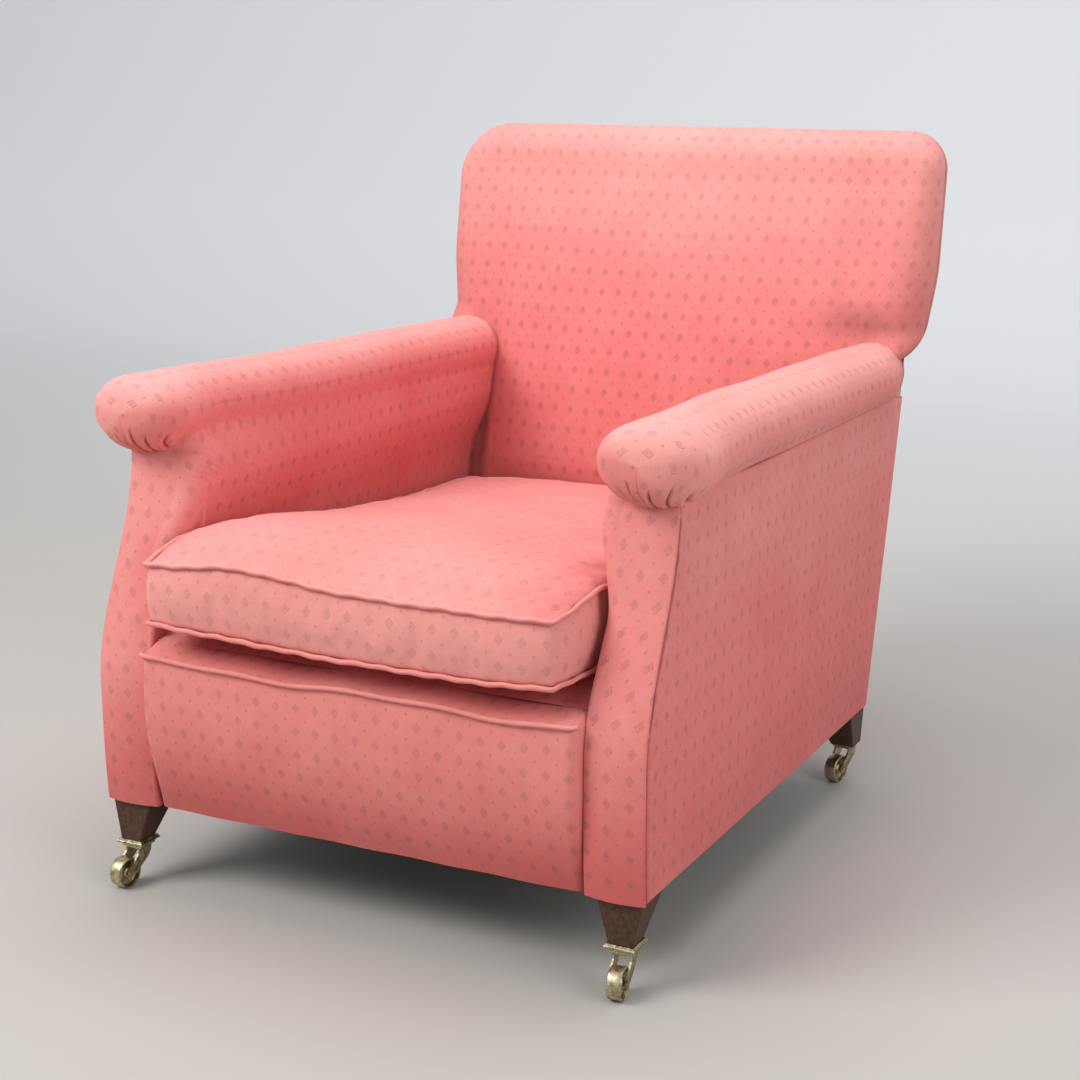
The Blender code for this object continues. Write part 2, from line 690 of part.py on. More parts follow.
def hessian_height(x, y):
    """Middle of the hessian: flat on the rails, raised over the springs, sunk to the rear."""
    plateau = HESSIAN_FRONT - SEAT_FALL * (y - SEAT_FRONT_EDGE)
    base = RAIL_TOP + GAP + HESSIAN_THICK / 2
    across = np.clip((SEAT_SIDE_EDGE - abs(x)) / HESSIAN_EDGE, 0, 1)
    ahead = np.clip((y - SEAT_FRONT_EDGE) / HESSIAN_EDGE, 0, 1)
    behind = np.clip((SEAT_REAR_EDGE - y) / HESSIAN_EDGE, 0, 1)
    return base + (plateau - base) * min(across, ahead, behind)


def seat_lines():
    """Places along the seat where the hessian and the platform above it both bend."""
    return [SEAT_FRONT_EDGE, SEAT_FRONT_EDGE + HESSIAN_EDGE, POST_REAR_LOW_Y + 0.005,
            -0.20, 0.0, SEAT_REAR_EDGE - HESSIAN_EDGE, SEAT_REAR_EDGE]


def hessian_mesh():
    """Hessian over the springs, tacked on the four rails and cut out round the posts."""
    inner = SEAT_SIDE_EDGE - HESSIAN_EDGE
    rail = frame_inner_x() - GAP
    tacked = 0.020
    xs = [-rail - tacked, -rail, -SEAT_SIDE_EDGE, -inner, inner, SEAT_SIDE_EDGE, rail, rail + tacked]
    flap_rear = upright_front_y(RAIL_TOP) - 0.006
    ys = [SEAT_FRONT_EDGE - tacked] + seat_lines() + [flap_rear, flap_rear + tacked]
    points = [(x, y, hessian_height(x, y)) for y in ys for x in xs]
    faces = []
    for j in range(len(ys) - 1):
        for i in range(len(xs) - 1):
            flap = i in (0, len(xs) - 2)
            if not flap or 3 <= j < len(ys) - 2:
                a = j * len(xs) + i
                faces += halves(a, a + 1, a + 1 + len(xs), a + len(xs))
    return slab(points, faces, HESSIAN_THICK)


def build_suspension():
    low = RAIL_BOTTOM - GAP - WEB_THICK / 2
    reach_x = frame_inner_x() + 0.015
    reach_front = SEAT_FRONT_EDGE - 0.015
    reach_rear = frame_rear_y(RAIL_BOTTOM) - 0.012
    edges_x = [-reach_x, reach_x]
    for k in range(WEB_COLUMNS):
        middle = (k - (WEB_COLUMNS - 1) / 2) * SPRING_SPACING_X / 2
        edges_x += [middle - WEB_WIDTH / 2, middle + WEB_WIDTH / 2]
    edges_y = [reach_front, reach_rear]
    for k in range(WEB_ROWS):
        middle = SEAT_CENTRE_Y + (k - (WEB_ROWS - 1) / 2) * SPRING_SPACING_Y / 2
        edges_y += [middle - WEB_WIDTH / 2, middle + WEB_WIDTH / 2]
    edges_x.sort()
    edges_y.sort()
    points = [(x, y, low) for y in edges_y for x in edges_x]
    columns = len(edges_x)
    faces = []
    for j in range(len(edges_y) - 1):
        for i in range(columns - 1):
            if i % 2 == 1 or j % 2 == 1:
                a = j * columns + i
                faces.append((a, a + 1, a + 1 + columns, a + columns))
    finish("seat_webbing", slab(points, faces, WEB_THICK), JUTE_LOOK)

    number = 0
    for row in range(SPRING_ROWS):
        for column in range(SPRING_ROWS):
            number += 1
            x = (column - 1) * SPRING_SPACING_X
            y = SEAT_CENTRE_Y + (row - 1) * SPRING_SPACING_Y
            finish("spring_%d" % number, spring_mesh(x, y), STEEL_LOOK)

    finish("spring_hessian", hessian_mesh(), JUTE_LOOK)

    reach = frame_outer_x() - 0.006
    notch = LEG_TOP_WIDTH + 0.006
    front = FRONT_RAIL_Y + 0.004
    rear = frame_rear_y(RAIL_BOTTOM) - 0.004
    xs = [-reach, -reach + notch, reach - notch, reach]
    ys = [front, front + notch, rear - notch - 0.01, rear]
    middle = RAIL_BOTTOM - 2 * GAP - WEB_THICK - DUST_THICK / 2
    points = [(x, y, middle) for y in ys for x in xs]
    faces = []
    for j in range(3):
        for i in range(3):
            if i == 1 or j == 1:
                a = j * 4 + i
                faces.append((a, a + 1, a + 5, a + 4))
    finish("dust_cover", slab(points, faces, DUST_THICK), DUST_LOOK)


def spring_mesh(x, y):
    """Waisted coil spring between the webbing and the hessian, its ends closed rings."""
    bottom = RAIL_BOTTOM + SPRING_WIRE
    steps = SPRING_TURNS * SPRING_POINTS
    points = []
    for k in range(steps + 1):
        t = k / steps
        angle = 2 * math.pi * k / SPRING_POINTS
        waist = math.sin(math.pi * t)
        radius = SPRING_END_RADIUS + (SPRING_WAIST_RADIUS - SPRING_END_RADIUS) * waist
        px = x + radius * math.cos(angle)
        py = y + radius * math.sin(angle)
        top = hessian_height(px, py) - HESSIAN_THICK / 2 - GAP - SPRING_WIRE * 1.15
        rise = min(1.0, max(0.0, (t * SPRING_TURNS - 0.6) / (SPRING_TURNS - 1.2)))
        points.append((px, py, bottom + (top - bottom) * rise))
    return cord_mesh(points, SPRING_WIRE, False, 0)


# Soft parts

def arm_mesh():
    """Left inside arm with its roll: stuffing and cloth over the arm rail, open to the post."""
    heights = sweep_heights(RAIL_TOP + 2 * GAP + HESSIAN_THICK, WOOD_TOP)
    heights.append(ARM_TOP_FRONT - ARM_ROLL_HALF_HEIGHT - 0.008)
    outer = frame_inner_x() - GAP

    def row(x, u, z):
        front = float(facing_y(z)) + FACING_THICK + GAP
        return (x, front + (arm_end_y(x, z) + ARM_PAST_END - front) * u, z)

    board = two_sheets(np.linspace(0, 1, 7), heights,
                       lambda u, z: row(float(arm_inner_x(z)), u, z),
                       lambda u, z: row(outer, u, z))
    roll = arm_roll_mesh()
    overlap = 0.002
    reach = HALF_WIDTH + 0.05
    below = box_mesh((outer - overlap, NOSE_BASE_Y - 0.2, RAIL_TOP), (reach, 0.6, WOOD_TOP + GAP))
    front = float(facing_y(WOOD_TOP)) + FACING_THICK + GAP + overlap
    ahead = box_mesh((0.1, NOSE_BASE_Y - 0.2, RAIL_TOP), (reach, front, WOOD_TOP + GAP))
    roll = combined(combined(roll, below, "DIFFERENCE"), ahead, "DIFFERENCE")
    arm = combined(board, roll, "UNION")
    arm = combined(arm, arm_end_block(0.0, 0.7, 0.70), "DIFFERENCE")
    return combined(arm, upright_mesh(1, GAP), "DIFFERENCE")


def arm_end_block(gap, far_y, top):
    """Space before or behind the rear end of the left arm."""
    bends = np.linspace(ARM_END_FROM, ARM_END_TO, 4)
    heights = [BODY_BOTTOM + 0.04] + [float(z) for z in bends] + [top]
    across = [ARM_INNER_HIGH - 0.006, ARM_END_X, ARM_ROLL_X + 0.0025, BACK_HALF_WIDTH + 0.04]
    return two_sheets(across, heights,
                      lambda x, z: (x, arm_end_y(x, z) + gap, z), lambda x, z: (x, far_y, z))


def arm_room():
    """Room that the left arm takes where it meets the back: its roll, and all below it."""
    below = box_mesh((ARM_INNER_HIGH - 0.006, 0.05, 0.15),
                     (BACK_HALF_WIDTH + 0.04, ARM_END_Y + 2 * ARM_PAST_END, ARM_BOARD_TOP))
    room = combined(below, arm_roll_mesh(GAP), "UNION")
    return combined(room, arm_end_block(GAP, 0.0, BACK_TOP), "INTERSECT")


def mirror_mesh(mesh):
    other = mesh.copy()
    other.transform(Matrix.Diagonal((-1, 1, 1, 1)))
    other.flip_normals()
    return other


def arm_roll_mesh(grow=0.0):
    """Left arm roll with its round nose, drawn into pleats below."""
    loops = []
    for k in range(1, NOSE_RINGS + 1):
        angle = math.radians(90 * k / NOSE_RINGS)
        reach = math.cos(angle) ** NOSE_BLUNT
        y = NOSE_BASE_Y - NOSE_LENGTH * reach
        loops.append(roll_ring(y, math.sin(angle) ** NOSE_BLUNT, grow))
    for y in (-0.34, -0.26, -0.15, 0.0, 0.15, 0.30, 0.345, 0.375, ARM_END_Y + ARM_PAST_END):
        loops.append(roll_ring(y, 1.0, grow))
    return rings(loops)


def roll_ring(y, scale, grow):
    lift = NOSE_LIFT * smooth(-y, -NOSE_BASE_Y, -NOSE_BASE_Y + NOSE_LENGTH)
    middle_z = arm_top(y) - ARM_ROLL_HALF_HEIGHT + lift
    half_width = ARM_ROLL_HALF_WIDTH + NOSE_SWELL * smooth(-y, -NOSE_SWELL_FROM, -NOSE_BASE_Y)
    splay = ARM_ROLL_SPLAY * smooth(-y, -ARM_SPLAY_FROM, -NOSE_BASE_Y)
    taper = 1 - ARM_ROLL_TAPER * smooth(y, ARM_TAPER_FROM, ARM_END_Y)
    ring = []
    for i in range(ROLL_SIDES):
        angle = 2 * math.pi * (i + 0.5) / ROLL_SIDES
        across = (half_width * scale + grow) * math.cos(angle)
        x = ARM_ROLL_X + splay + across * (taper if across > 0 else 1)
        z = middle_z + (ARM_ROLL_HALF_HEIGHT * scale + grow) * math.sin(angle)
        ring.append(pleated(x, y, z))
    return ring


def pleated(x, y, z):
    """Press the pleats into the underside of a nose; they meet below its middle."""
    gather = Vector((ARM_ROLL_X + ARM_ROLL_SPLAY, float(facing_y(WOOD_TOP)), WOOD_TOP))
    offset = Vector((x, y, z)) - gather
    reach = offset.length
    fade = float(smooth(reach, PLEAT_FROM, PLEAT_FULL) * (1 - smooth(reach, PLEAT_FADE, PLEAT_END)))
    if y > NOSE_BASE_Y - 0.002 or fade == 0:
        return (x, y, z)
    turn = math.atan2(offset.x, -offset.y + offset.z)
    fold = 0.5 - 0.5 * math.cos(turn * 2 * PLEATS)
    centre = Vector((ARM_ROLL_X + ARM_ROLL_SPLAY, NOSE_BASE_Y, ARM_TOP_FRONT - ARM_ROLL_HALF_HEIGHT))
    inward = (centre - Vector((x, y, z))).normalized()
    return tuple(Vector((x, y, z)) + inward * PLEAT_DEPTH * fold * fade)


def facing_mesh():
    """Padded front of the left arm, from its inner edge to the outside panel."""
    across = [0.0, 0.1, 0.35, 0.65, 0.9, 1.0]

    def edge_x(u, z):
        inner = float(arm_inner_x(z)) + GAP
        return inner + (HALF_WIDTH - inner) * u

    def front(u, z):
        fall = FACING_SWELL * (2 * u - 1) ** 4
        return (edge_x(u, z), float(facing_y(z)) + fall, z)

    def rear(u, z):
        return (edge_x(u, z), float(facing_y(z)) + FACING_THICK, z)

    facing = two_sheets(across, SWEEP_HEIGHTS, front, rear)
    edge = [(float(facing_y(z)) + PANEL_EDGE - GAP, z) for z in SWEEP_HEIGHTS]
    below, above = BODY_BOTTOM - 0.01, WOOD_TOP + 0.01
    outline = [(edge[0][0], below)] + edge + [(edge[-1][0], above), (0.0, above), (0.0, below)]
    rebate = plate_mesh(outline, HALF_WIDTH - COVER_THICK - GAP, HALF_WIDTH + 0.01)
    return combined(facing, rebate, "DIFFERENCE")


def build_arms():
    for name, mesh in (("inside_arm", arm_mesh()), ("arm_facing", facing_mesh())):
        finish(name + "_right", mirror_mesh(mesh), CLOTH_LOOK)
        finish(name + "_left", mesh, CLOTH_LOOK)


def border_front_y(z):
    """Front of the border: full below the piping, drawn in at the foot."""
    t = np.clip((z - BODY_BOTTOM) / (BORDER_TOP - BODY_BOTTOM), 0, 1)
    straight = BORDER_FOOT_Y + (BORDER_TOP_Y - BORDER_FOOT_Y) * t
    return float(straight - BORDER_BULGE * math.sin(math.pi * t ** 1.2))


def build_border():
    rise = BORDER_TOP - BODY_BOTTOM
    heights = [BODY_BOTTOM + rise * t for t in (0, 0.11, 0.27, 0.42, 0.58, 0.71, 0.84, 0.93, 1)]
    half = BORDER_HALF_WIDTH

    def front(u, z):
        return (half * u, border_front_y(z) + BORDER_SIDE_FALL * abs(u) ** 6, z)

    def rear(u, z):
        return (half * u, FRONT_RAIL_Y - GAP, z + (DECK_EDGE - BORDER_TOP) * (z - BODY_BOTTOM) / rise)

    across = [-1, -0.96, -0.86, -0.6, -0.3, 0, 0.3, 0.6, 0.86, 0.96, 1]
    finish("front_border", two_sheets(across, heights, front, rear), CLOTH_LOOK)
    out = PIPING_RADIUS + GAP
    points = []
    for k in range(25):
        u = -0.985 + 1.97 * k / 24
        x, y, z = front(u, BORDER_TOP)
        points.append((x, y - out * 0.75, z + out * 0.75))
    finish("border_piping", cord_mesh(points, PIPING_RADIUS, False, 1), CLOTH_LOOK)


def deck_height(x, y):
    """Top of the seat platform: rises behind the border, then falls to the rear."""
    rise = smooth(y, FRONT_RAIL_Y, DECK_FRONT_Y)
    sunk = DECK_FRONT - SEAT_FALL * max(0.0, y - DECK_FRONT_Y)
    return float(DECK_EDGE + (sunk - DECK_EDGE) * rise)


def build_deck():
    half = ARM_INNER_LOW - GAP
    inner = SEAT_SIDE_EDGE - HESSIAN_EDGE
    xs = [-half, -SEAT_SIDE_EDGE, -inner, 0, inner, SEAT_SIDE_EDGE, half]
    ys = [FRONT_RAIL_Y + GAP] + seat_lines() + [DECK_REAR_Y]

    def top(x, y):
        return (x, y, deck_height(x, y))

    def bottom(x, y):
        return (x, y, float(hessian_height(x, y)) + HESSIAN_THICK / 2 + GAP)

    finish("seat_platform", two_sheets(xs, ys, top, bottom), JUTE_LOOK)


def roll_middle_y(z):
    """Middle line of the top roll and of the rolled shoulders."""
    roll_z = BACK_TOP - BACK_ROLL_REAR
    return back_face_y(roll_z) + BACK_ROLL_DEPTH - BACK_ROLL_LEAN * (roll_z - z)


def back_half_width(z):
    """Half width of the shoulders, drawn in where they come down behind the arms."""
    waist = BACK_WAIST * (1 - smooth(z, BACK_WAIST_FROM, BACK_WAIST_TO))
    tuck = SHOULDER_TUCK * (1 - smooth(z, SHOULDER_TUCK_FROM, SHOULDER_TUCK_TO))
    return BACK_HALF_WIDTH - waist - tuck


def back_corner(x):
    return BACK_CORNER_LEFT if x > 0 else BACK_CORNER_RIGHT


def back_rim_distance(x, z):
    """Distance from a point inside the back's outline to its rim."""
    corner = back_corner(x)
    qx = abs(x) - (back_half_width(z) - corner)
    qz = z - (BACK_TOP - corner)
    outside = math.hypot(max(qx, 0), max(qz, 0))
    return max(0.0, corner - outside - min(max(qx, qz), 0))


def back_crown(x, z):
    """How far the stuffing swells forward: full in the middle, less under the top roll."""
    across = np.clip(1 - (x / ARM_END_X) ** 2, 0, 1) ** 0.8
    fade = 0.75 * smooth(z, CROWN_FADE_FROM, BACK_TOP - CROWN_FADE_DROP)
    return BACK_CROWN * across * smooth(z, CROWN_FROM, CROWN_TO) * (1 - fade)


def back_front_y(x, z):
    """Front of the back: swelling in the middle, rounded away over the rolled rim."""
    rim = back_rim_distance(x, z)
    face = back_face_y(min(z, BACK_TOP - BACK_ROLL_REAR)) - back_crown(x, z)
    middle = roll_middle_y(z)
    depth = middle - face
    spread = max(depth * 0.75, BACK_ROLL_SPREAD)
    part = min(1.0, rim / spread)
    y = middle - depth * math.sqrt(max(0.0, 1 - (1 - part) ** 2))
    return float(y)


def back_rear_y(x, z):
    """Rear of the back: the roll stands proud of the flat outside back."""
    rim = back_rim_distance(x, z)
    flat = frame_rear_y(z)
    swell = BACK_ROLL_REAR ** 2 * (1 - ((rim - BACK_ROLL_SPREAD) / BACK_ROLL_SPREAD) ** 2)
    roll = roll_middle_y(z) + math.sqrt(max(0.0, swell))
    if rim >= 2 * BACK_ROLL_SPREAD:
        return float(flat)
    return float(max(flat, roll))


def build_back():
    half = frame_inner_x() - GAP
    low = STUFFING_RAIL_TOP + GAP
    heights = [low, 0.34, 0.38, 0.42, 0.50, SHOULDER_BOTTOM - 0.001, SHOULDER_BOTTOM + LAP]
    shares = [0.28, 0.53, 0.715, 0.82, 0.885, 1]
    across = [-half * u for u in reversed(shares)] + [0] + [half * u for u in shares]

    def sunk(z):
        return LAP_DEPTH if z > SHOULDER_BOTTOM else 0.0

    def low_front(x, z):
        return (x, float(back_face_y(z) - back_crown(x, z)) + sunk(z), z)

    def low_rear(x, z):
        return (x, frame_rear_y(z) - sunk(z), z)

    lower = two_sheets(across, heights, low_front, low_rear)
    spread = [math.sin(math.pi / 2 * k / 8) for k in range(-8, 9)]
    crest = BACK_TOP - 0.0006
    heights = [SHOULDER_BOTTOM + rise for rise in (0, 0.019, 0.037, 0.062, 0.102)]
    upper = [BACK_TOP - drop for drop in (0.110, 0.090, 0.070, 0.050, 0.032, 0.018, 0.007, 0)]
    heights += [(heights[-1] + upper[0]) / 2] + upper

    def width_at(u, z):
        corner = back_corner(u)
        over = max(0.0, z - (BACK_TOP - corner))
        drop = corner - math.sqrt(max(0.0, corner ** 2 - over ** 2))
        return (back_half_width(z) - drop) * u

    def high_front(u, z):
        x = float(width_at(u, z))
        return (x, back_front_y(x, min(z, crest)), z)

    def high_rear(u, z):
        x = float(width_at(u, z))
        if abs(u) == 1:
            return high_front(u, z)
        return (x, back_rear_y(x, min(z, crest)), z)

    back = combined(lower, two_sheets(spread, heights, high_front, high_rear), "UNION")
    for side in SIDES.values():
        back = combined(back, upright_mesh(side, GAP), "DIFFERENCE")
        room = arm_room()
        back = combined(back, room if side > 0 else mirror_mesh(room), "DIFFERENCE")
    bottom = UPRIGHT_TOP - TOP_RAIL_HEIGHT - GAP
    top = UPRIGHT_TOP + GAP
    depth = TOP_RAIL_DEPTH + GAP
    slot = [(frame_rear_y(bottom) - depth, bottom), (frame_rear_y(bottom) + 0.004, bottom),
            (frame_rear_y(top) + 0.004, top), (frame_rear_y(top) - depth, top)]
    end = upright_section(UPRIGHT_TOP)[0]
    back = combined(back, plate_mesh(slot, -end, end), "DIFFERENCE")
    finish("inside_back", back, CLOTH_LOOK)


# Loose cushion

def cushion_edge_top(x, y):
    """Height of the top seam: highest just behind the front, sunk towards the back."""
    depth = y - CUSHION_FRONT_Y
    behind = smooth(depth, CUSHION_RISE_AT, CUSHION_RISE_END)
    rise = CUSHION_RISE * smooth(depth, 0.0, CUSHION_RISE_AT) * (1 - behind)
    sink = CUSHION_SAG * smooth(depth, CUSHION_SAG_FROM, CUSHION_SAG_TO)
    lump = CUSHION_LUMP * math.exp(-((x - CUSHION_LUMP_X) / CUSHION_LUMP_REACH) ** 2)
    return float(CUSHION_TOP + rise - sink + lump * (1 - smooth(depth, 0, CUSHION_LUMP_END)))


def cushion_top(x, y):
    across = max(0.0, 1 - (x / CUSHION_HALF_WIDTH) ** 2)
    middle = (CUSHION_FRONT_Y + CUSHION_REAR_Y) / 2
    along = max(0.0, 1 - ((y - middle) / (CUSHION_REAR_Y - middle)) ** 2)
    crown = CUSHION_CROWN * (across * along) ** 0.5
    away = ((x - CUSHION_HOLLOW_X) / CUSHION_HOLLOW_ACROSS) ** 2
    away += ((y - CUSHION_HOLLOW_Y) / CUSHION_HOLLOW_ALONG) ** 2
    hollow = CUSHION_HOLLOW * math.exp(-away)
    rim = min(1.0, (across * along) ** 0.5 * 2)
    return cushion_edge_top(x, y) + crown - hollow * rim


def cushion_edge_bottom(x, y):
    depth = y - CUSHION_FRONT_Y
    wave = CUSHION_WAVE * math.cos((x - CUSHION_WAVE_X) * CUSHION_WAVE_TURN)
    wave *= 1 - smooth(depth, 0, CUSHION_WAVE_END)
    sink = CUSHION_SAG_BELOW * smooth(depth, CUSHION_SAG_FROM, CUSHION_SAG_TO)
    return float(CUSHION_TOP - CUSHION_WALL - CUSHION_EDGE_DROP - sink + wave)


def cushion_bottom(x, y):
    """Underside: seated on the platform, curling up to the seam in front and at the sides."""
    across = abs(x) / CUSHION_HALF_WIDTH
    seated = DECK_FRONT - SEAT_FALL * (y - DECK_FRONT_Y) + GAP
    seam = max(cushion_edge_bottom(x, y), seated + PIPING_RADIUS + 0.001)
    side = smooth(across, 0.80, 1.0)
    ahead = 1 - smooth(y, CUSHION_FRONT_Y, CUSHION_FRONT_Y + CUSHION_CURL)
    behind = smooth(y, CUSHION_REAR_Y - CUSHION_REAR_CURL, CUSHION_REAR_Y)
    lift = 1 - (1 - side) * (1 - ahead) * (1 - behind)
    return float(seated + (seam - seated) * lift)


def cushion_plan(u, v):
    """Plan of the cushion with its corners rounded."""
    middle = (CUSHION_FRONT_Y + CUSHION_REAR_Y) / 2
    half = (CUSHION_REAR_Y - CUSHION_FRONT_Y) / 2
    x = CUSHION_HALF_WIDTH * u * (1 - 0.022 * abs(v) ** 12)
    y = middle + half * v * (1 - 0.014 * abs(u) ** 10)
    return x, y


def build_cushion():
    us = [-1, -0.95, -0.82, -0.6, -0.36, -0.12, 0.12, 0.36, 0.6, 0.82, 0.95, 1]
    vs = [-1, -0.97, -0.89, -0.76, -0.58, -0.36, -0.12, 0.14, 0.4, 0.66, 0.88, 1]

    def top(u, v):
        x, y = cushion_plan(u, v)
        return (x, y, cushion_top(x, y))

    def bottom(u, v):
        x, y = cushion_plan(u, v)
        return (x, y, cushion_bottom(x, y))

    finish("seat_cushion", two_sheets(us, vs, top, bottom), CLOTH_LOOK)

    rim = [(u, -1) for u in us[:-1]] + [(1, v) for v in vs[:-1]]
    rim += [(u, 1) for u in us[:0:-1]] + [(-1, v) for v in vs[:0:-1]]
    out = PIPING_RADIUS + GAP
    for name, height in (("cushion_piping_top", cushion_top),
                         ("cushion_piping_bottom", cushion_bottom)):
        points = []
        for u, v in rim:
            x, y = cushion_plan(u, v)
            step = Vector((u if abs(u) == 1 else 0, v if abs(v) == 1 else 0)) * out * 1.12
            points.append((x + step.x, y + step.y, height(x, y)))
        finish(name, cord_mesh(points, PIPING_RADIUS, True, 1), CLOTH_LOOK)


# Legs and castors

def leg_places():
    """Name, side, top centre, foot centre, foot width, foot height and dowel of each leg."""
    places = []
    for word, side in SIDES.items():
        places.append(("front_" + word, side, (FRONT_LEG_X, FRONT_LEG_Y),
                       (FRONT_FOOT_X, FRONT_FOOT_Y), FRONT_LEG_FOOT, SOCKET_TOP))
        places.append(("rear_" + word, side, (REAR_LEG_X, REAR_LEG_Y),
                       (REAR_FOOT_X, REAR_FOOT_Y), REAR_LEG_FOOT, PLATE_TOP))
    return places


def build_leg(word, side, top, foot, foot_width, foot_z):
    loops = []
    seat = BODY_BOTTOM - GAP
    for (x, y), width, z in ((foot, foot_width, foot_z), (top, LEG_TOP_WIDTH, seat)):
        half = width / 2
        cut = LEG_CHAMFER
        corners = [(-half + cut, -half), (half - cut, -half), (half, -half + cut),
                   (half, half - cut), (half - cut, half), (-half + cut, half),
                   (-half, half - cut), (-half, -half + cut)]
        loops.append([(side * (x + px), y + py, z) for px, py in corners])
    leg = finish("leg_" + word, rings(loops), STAINED_LOOK, 20)
    half = LEG_TOP_WIDTH / 2 - 2 * LEG_CHAMFER
    front = max(top[1] - half, float(facing_y(BODY_BOTTOM)) + FACING_THICK + 2 * GAP)
    rear = min(top[1] + half, frame_rear_y(BODY_BOTTOM))
    low_x, high_x = sorted((side * (top[0] - half), side * (top[0] + half)))
    neck = box_mesh((low_x, front, seat - 0.004), (high_x, rear, RAIL_BOTTOM - GAP))
    add_boolean(leg, neck, "UNION")
    if word.startswith("front"):
        place = Matrix.Translation((side * FRONT_DOWEL_X, FRONT_LEG_Y, 0))
        dowel = cylinder_mesh(DOWEL_RADIUS, RAIL_BOTTOM - 0.012, RAIL_BOTTOM + DOWEL_LENGTH,
                              12, place)
        add_boolean(leg, dowel, "UNION")
    bore = Matrix.Translation((side * foot[0], foot[1], 0))
    top_of_bore = YOKE_TOP + PIN_LENGTH + 0.001
    add_boolean(leg, cylinder_mesh(PIN_RADIUS + RUNNING_CLEARANCE, foot_z - 0.01, top_of_bore,
                                   16, bore), "DIFFERENCE")


def turned_mesh(profile, steps, axis_turn=0.0):
    """Revolve an (x, z) profile, given top to bottom, about Z."""
    shape = bpy.data.meshes.new("profile")
    shape.from_pydata([(x, 0, z) for x, z in profile],
                      [(k, k + 1) for k in range(len(profile) - 1)], [])
    holder = bpy.data.objects.new("profile", shape)
    bpy.context.scene.collection.objects.link(holder)
    screw = holder.modifiers.new("turn", "SCREW")
    screw.steps = steps
    screw.render_steps = steps
    screw.use_merge_vertices = True
    screw.merge_threshold = 0.00001
    graph = bpy.context.evaluated_depsgraph_get()
    result = bpy.data.meshes.new_from_object(holder.evaluated_get(graph))
    bpy.data.objects.remove(holder, do_unlink=True)
    result.transform(Matrix.Rotation(axis_turn, 4, "Z"))
    weld = bmesh.new()
    weld.from_mesh(result)
    bmesh.ops.remove_doubles(weld, verts=weld.verts, dist=1e-6)
    bmesh.ops.recalc_face_normals(weld, faces=weld.faces)
    weld.to_mesh(result)
    weld.free()
    return result


def build_socket(word, side, foot, foot_z):
    """Moulded square plate under a front leg, plain thin plate under a rear one."""
    diagonal = math.sqrt(2)
    if foot_z == SOCKET_TOP:
        half = SOCKET_WIDTH / 2
        steps = [(0, 0), (half - 0.002, 0), (half - 0.001, -0.0022), (half, -0.0030),
                 (half, -0.0048), (half - 0.0035, -0.0058), (half - 0.0045, -0.0082),
                 (half - 0.0045, -0.0100), (0, -0.0100)]
    else:
        half = PLATE_WIDTH / 2
        steps = [(0, 0), (half, 0), (half, -0.0018), (half - 0.0006, -0.0024), (0, -0.0024)]
    profile = [(x * diagonal, foot_z - GAP + z) for x, z in steps]
    mesh = turned_mesh(profile, 4, math.radians(45))
    mesh.transform(Matrix.Translation((side * foot[0], foot[1], 0)))
    socket = finish("castor_plate_" + word, mesh, BRASS_LOOK, 20)
    place = Matrix.Translation((side * foot[0], foot[1], 0))
    bore = cylinder_mesh(PIN_RADIUS + RUNNING_CLEARANCE, 0.03, foot_z + 0.01, 16, place)
    add_boolean(socket, bore, "DIFFERENCE")


def cheek_outline():
    """(y, z) outline of a cheek: a horn sweeping from the yoke down to the axle."""
    top = YOKE_TOP - YOKE_THICK / 2
    half = YOKE_DEPTH / 2
    axle_y, axle_z = -TRAIL, WHEEL_RADIUS
    eye = 0.0058
    points = [(half, YOKE_TOP), (half - 0.001, top - 0.006), (half - 0.0065, top - 0.0135)]
    for k in range(7):
        angle = math.radians(-38 - 190 * k / 6)
        points.append((axle_y + eye * math.cos(angle), axle_z + eye * math.sin(angle)))
    points += [(-half - 0.0085, top - 0.0125), (-half - 0.002, top - 0.006), (-half, YOKE_TOP)]
    return points


def castor_matrix(side, foot, swing):
    """Frame of a castor: its origin on the floor below the pin, turned by its swing."""
    turn = Matrix.Rotation(side * -swing, 4, "Z")
    return Matrix.Translation((side * foot[0], foot[1], 0)) @ turn


